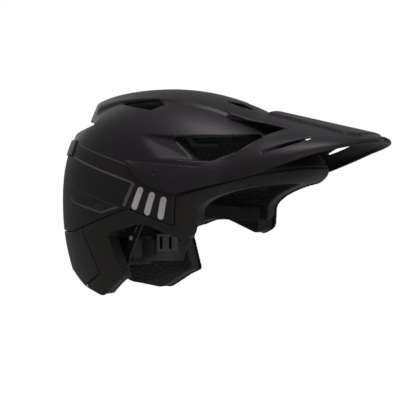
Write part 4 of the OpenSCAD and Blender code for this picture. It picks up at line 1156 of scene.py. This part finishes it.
for pad in [*pads, chin_pad]:
    pad.data.materials.append(finishes["pad"])
for strap in straps:
    strap.data.materials.append(finishes["web"])
dress(upper_shell, "crown", "upper_shell")
dress(rim_shell, "rim", "rim_shell")
dress(nape_shell, "lobe", "nape_shell")
dress(eps_liner, "foam", "eps_liner")
dress(visor, "peak", "visor", "visor_tilt_body")
dress(film, "film", "slip_liner")
dress(rear_reflector, "grey", "rear_reflector")
for finish, names in {
    "film": ["slip_liner"],
    "pale": ["slip_anchors", "height_pin", *pair("belt_rivet")],
    "grey": ["rear_reflector"],
    "pad": ["brow_pad", "crown_pad", *pair("side_pad"), "cradle_pad", "chin_pad"],
    "fit": ["cradle", "height_strip", "dial_housing", *pair("fit_belt"), "belt_guides"],
    "rubber": ["dial_knob", "pin_washers", "strap_keeper"],
    "steel": ["dial_pinion"],
    "brass": ["visor_bushes"],
    "web": [*pair("front_strap"), *pair("rear_strap"), *pair("chin_strap")],
    "dark": ["visor_pins", "strap_anchors", *pair("divider"), "buckle_socket", "buckle_plug"],
}.items():
    for name in names:
        dress(nodes[name], finish)

for width, names in {
    0.3: ["pin_washers"],
    0.35: pair("fit_belt"),
    0.4: ["height_strip", *pair("belt_rivet"), "strap_anchors", "strap_keeper", "visor_pins", "height_pin"],
    0.5: ["dial_knob", "belt_guides", *pair("divider")],
    0.6: ["cradle", "buckle_plug"],
    0.8: ["buckle_socket"],
    1.2: ["dial_housing"],
}.items():
    for name in names:
        edge = nodes[name].modifiers.new("edge", "BEVEL")
        edge.width, edge.segments, edge.limit_method, edge.angle_limit = width * MM, 2, "ANGLE", math.radians(35)

# ---------- stage ----------
FLOOR_HALF, FLOOR_Z, AMBIENT, GLOSS_SHARE, WHITE = 9000, -300, 0.1, 0.25, (1, 1, 1, 1)
AZIMUTH, ELEVATION, DISTANCE, LENS = math.radians(25.5), math.radians(1.2), 1.8, 149.5
right = Vector((math.cos(AZIMUTH), math.sin(AZIMUTH), 0))
back = Vector((math.sin(AZIMUTH) * math.cos(ELEVATION), -math.cos(AZIMUTH) * math.cos(ELEVATION), math.sin(ELEVATION)))
up = back.cross(right)
target = right * 0.0106 + up * 0.0031
camera = linked("camera", bpy.data.cameras.new("camera"))
camera.data.lens, camera.data.sensor_width = LENS, 36.0
camera.location = target + back * DISTANCE
camera.rotation_mode = "QUATERNION"
camera.rotation_quaternion = back.to_track_quat("Z", "Y")
scene.camera = camera


def lamp(name, place, size, power):
    """A soft lamp in metres and watts, aimed at the helmet."""
    aim = Vector((0, 0, 0.03))
    light = bpy.data.lights.new(name, "AREA")
    light.shape, light.size, light.size_y, light.energy = "RECTANGLE", size[0], size[1], power
    obj = linked(name, light)
    obj.location = place
    obj.rotation_mode = "QUATERNION"
    obj.rotation_quaternion = (Vector(place) - aim).to_track_quat("Z", "Y")


lamp("key_above", (0.2, -0.42, 1.7), (0.9, 0.7), 14)
lamp("fill_front", (1.1, -1.4, 0.3), (1.0, 1.0), 5)
lamp("rim_back", (-1.4, 0.9, 0.9), (0.8, 1.2), 3)


def background_rays(n):
    """How far each ray shows the background: in full to the camera and through glass, and softer in gloss."""
    path = n.add("LightPath").outputs
    seen = path["Is Camera Ray"]
    for name, share in (("Is Glossy Ray", GLOSS_SHARE), ("Is Transmission Ray", 1.0)):
        seen = n.maths("MULTIPLY_ADD", path[name], share, seen, clamp=True)
    return seen


world = bpy.data.worlds.new("studio")
scene.world = world
sky = Tree(world)
ground_light = sky.tree.nodes["Background"]
ground_light.inputs["Color"].default_value = WHITE
ground_light.inputs["Strength"].default_value = AMBIENT
shown = sky.add("Background", {"Color": WHITE})
mixer = sky.add("MixShader", {0: background_rays(sky), 1: ground_light.outputs[0], 2: shown.outputs[0]})
sky.put(mixer.outputs[0], sky.tree.nodes["World Output"].inputs["Surface"])

corners = [(-FLOOR_HALF, -FLOOR_HALF), (FLOOR_HALF, -FLOOR_HALF), (FLOOR_HALF, FLOOR_HALF), (-FLOOR_HALF, FLOOR_HALF)]
floor = mesh_object("floor", [(x, y, FLOOR_Z) for x, y in corners], [[0, 1, 2, 3]])
ground = Nodes("pale_floor")
seen = background_rays(ground)
ground.put(ground.maths("MULTIPLY", seen, 0.9), ground.shader.inputs["Emission Strength"])
ground.shader.inputs["Emission Color"].default_value = WHITE
pale = ground.blend(ground.noise(3), (0.86, 0.86, 0.86, 1), (0.9, 0.9, 0.9, 1))
floor.data.materials.append(ground.finish(ground.blend(seen, (0.3, 0.3, 0.3, 1), pale), 0.9))

scene.view_settings.view_transform = "Standard"
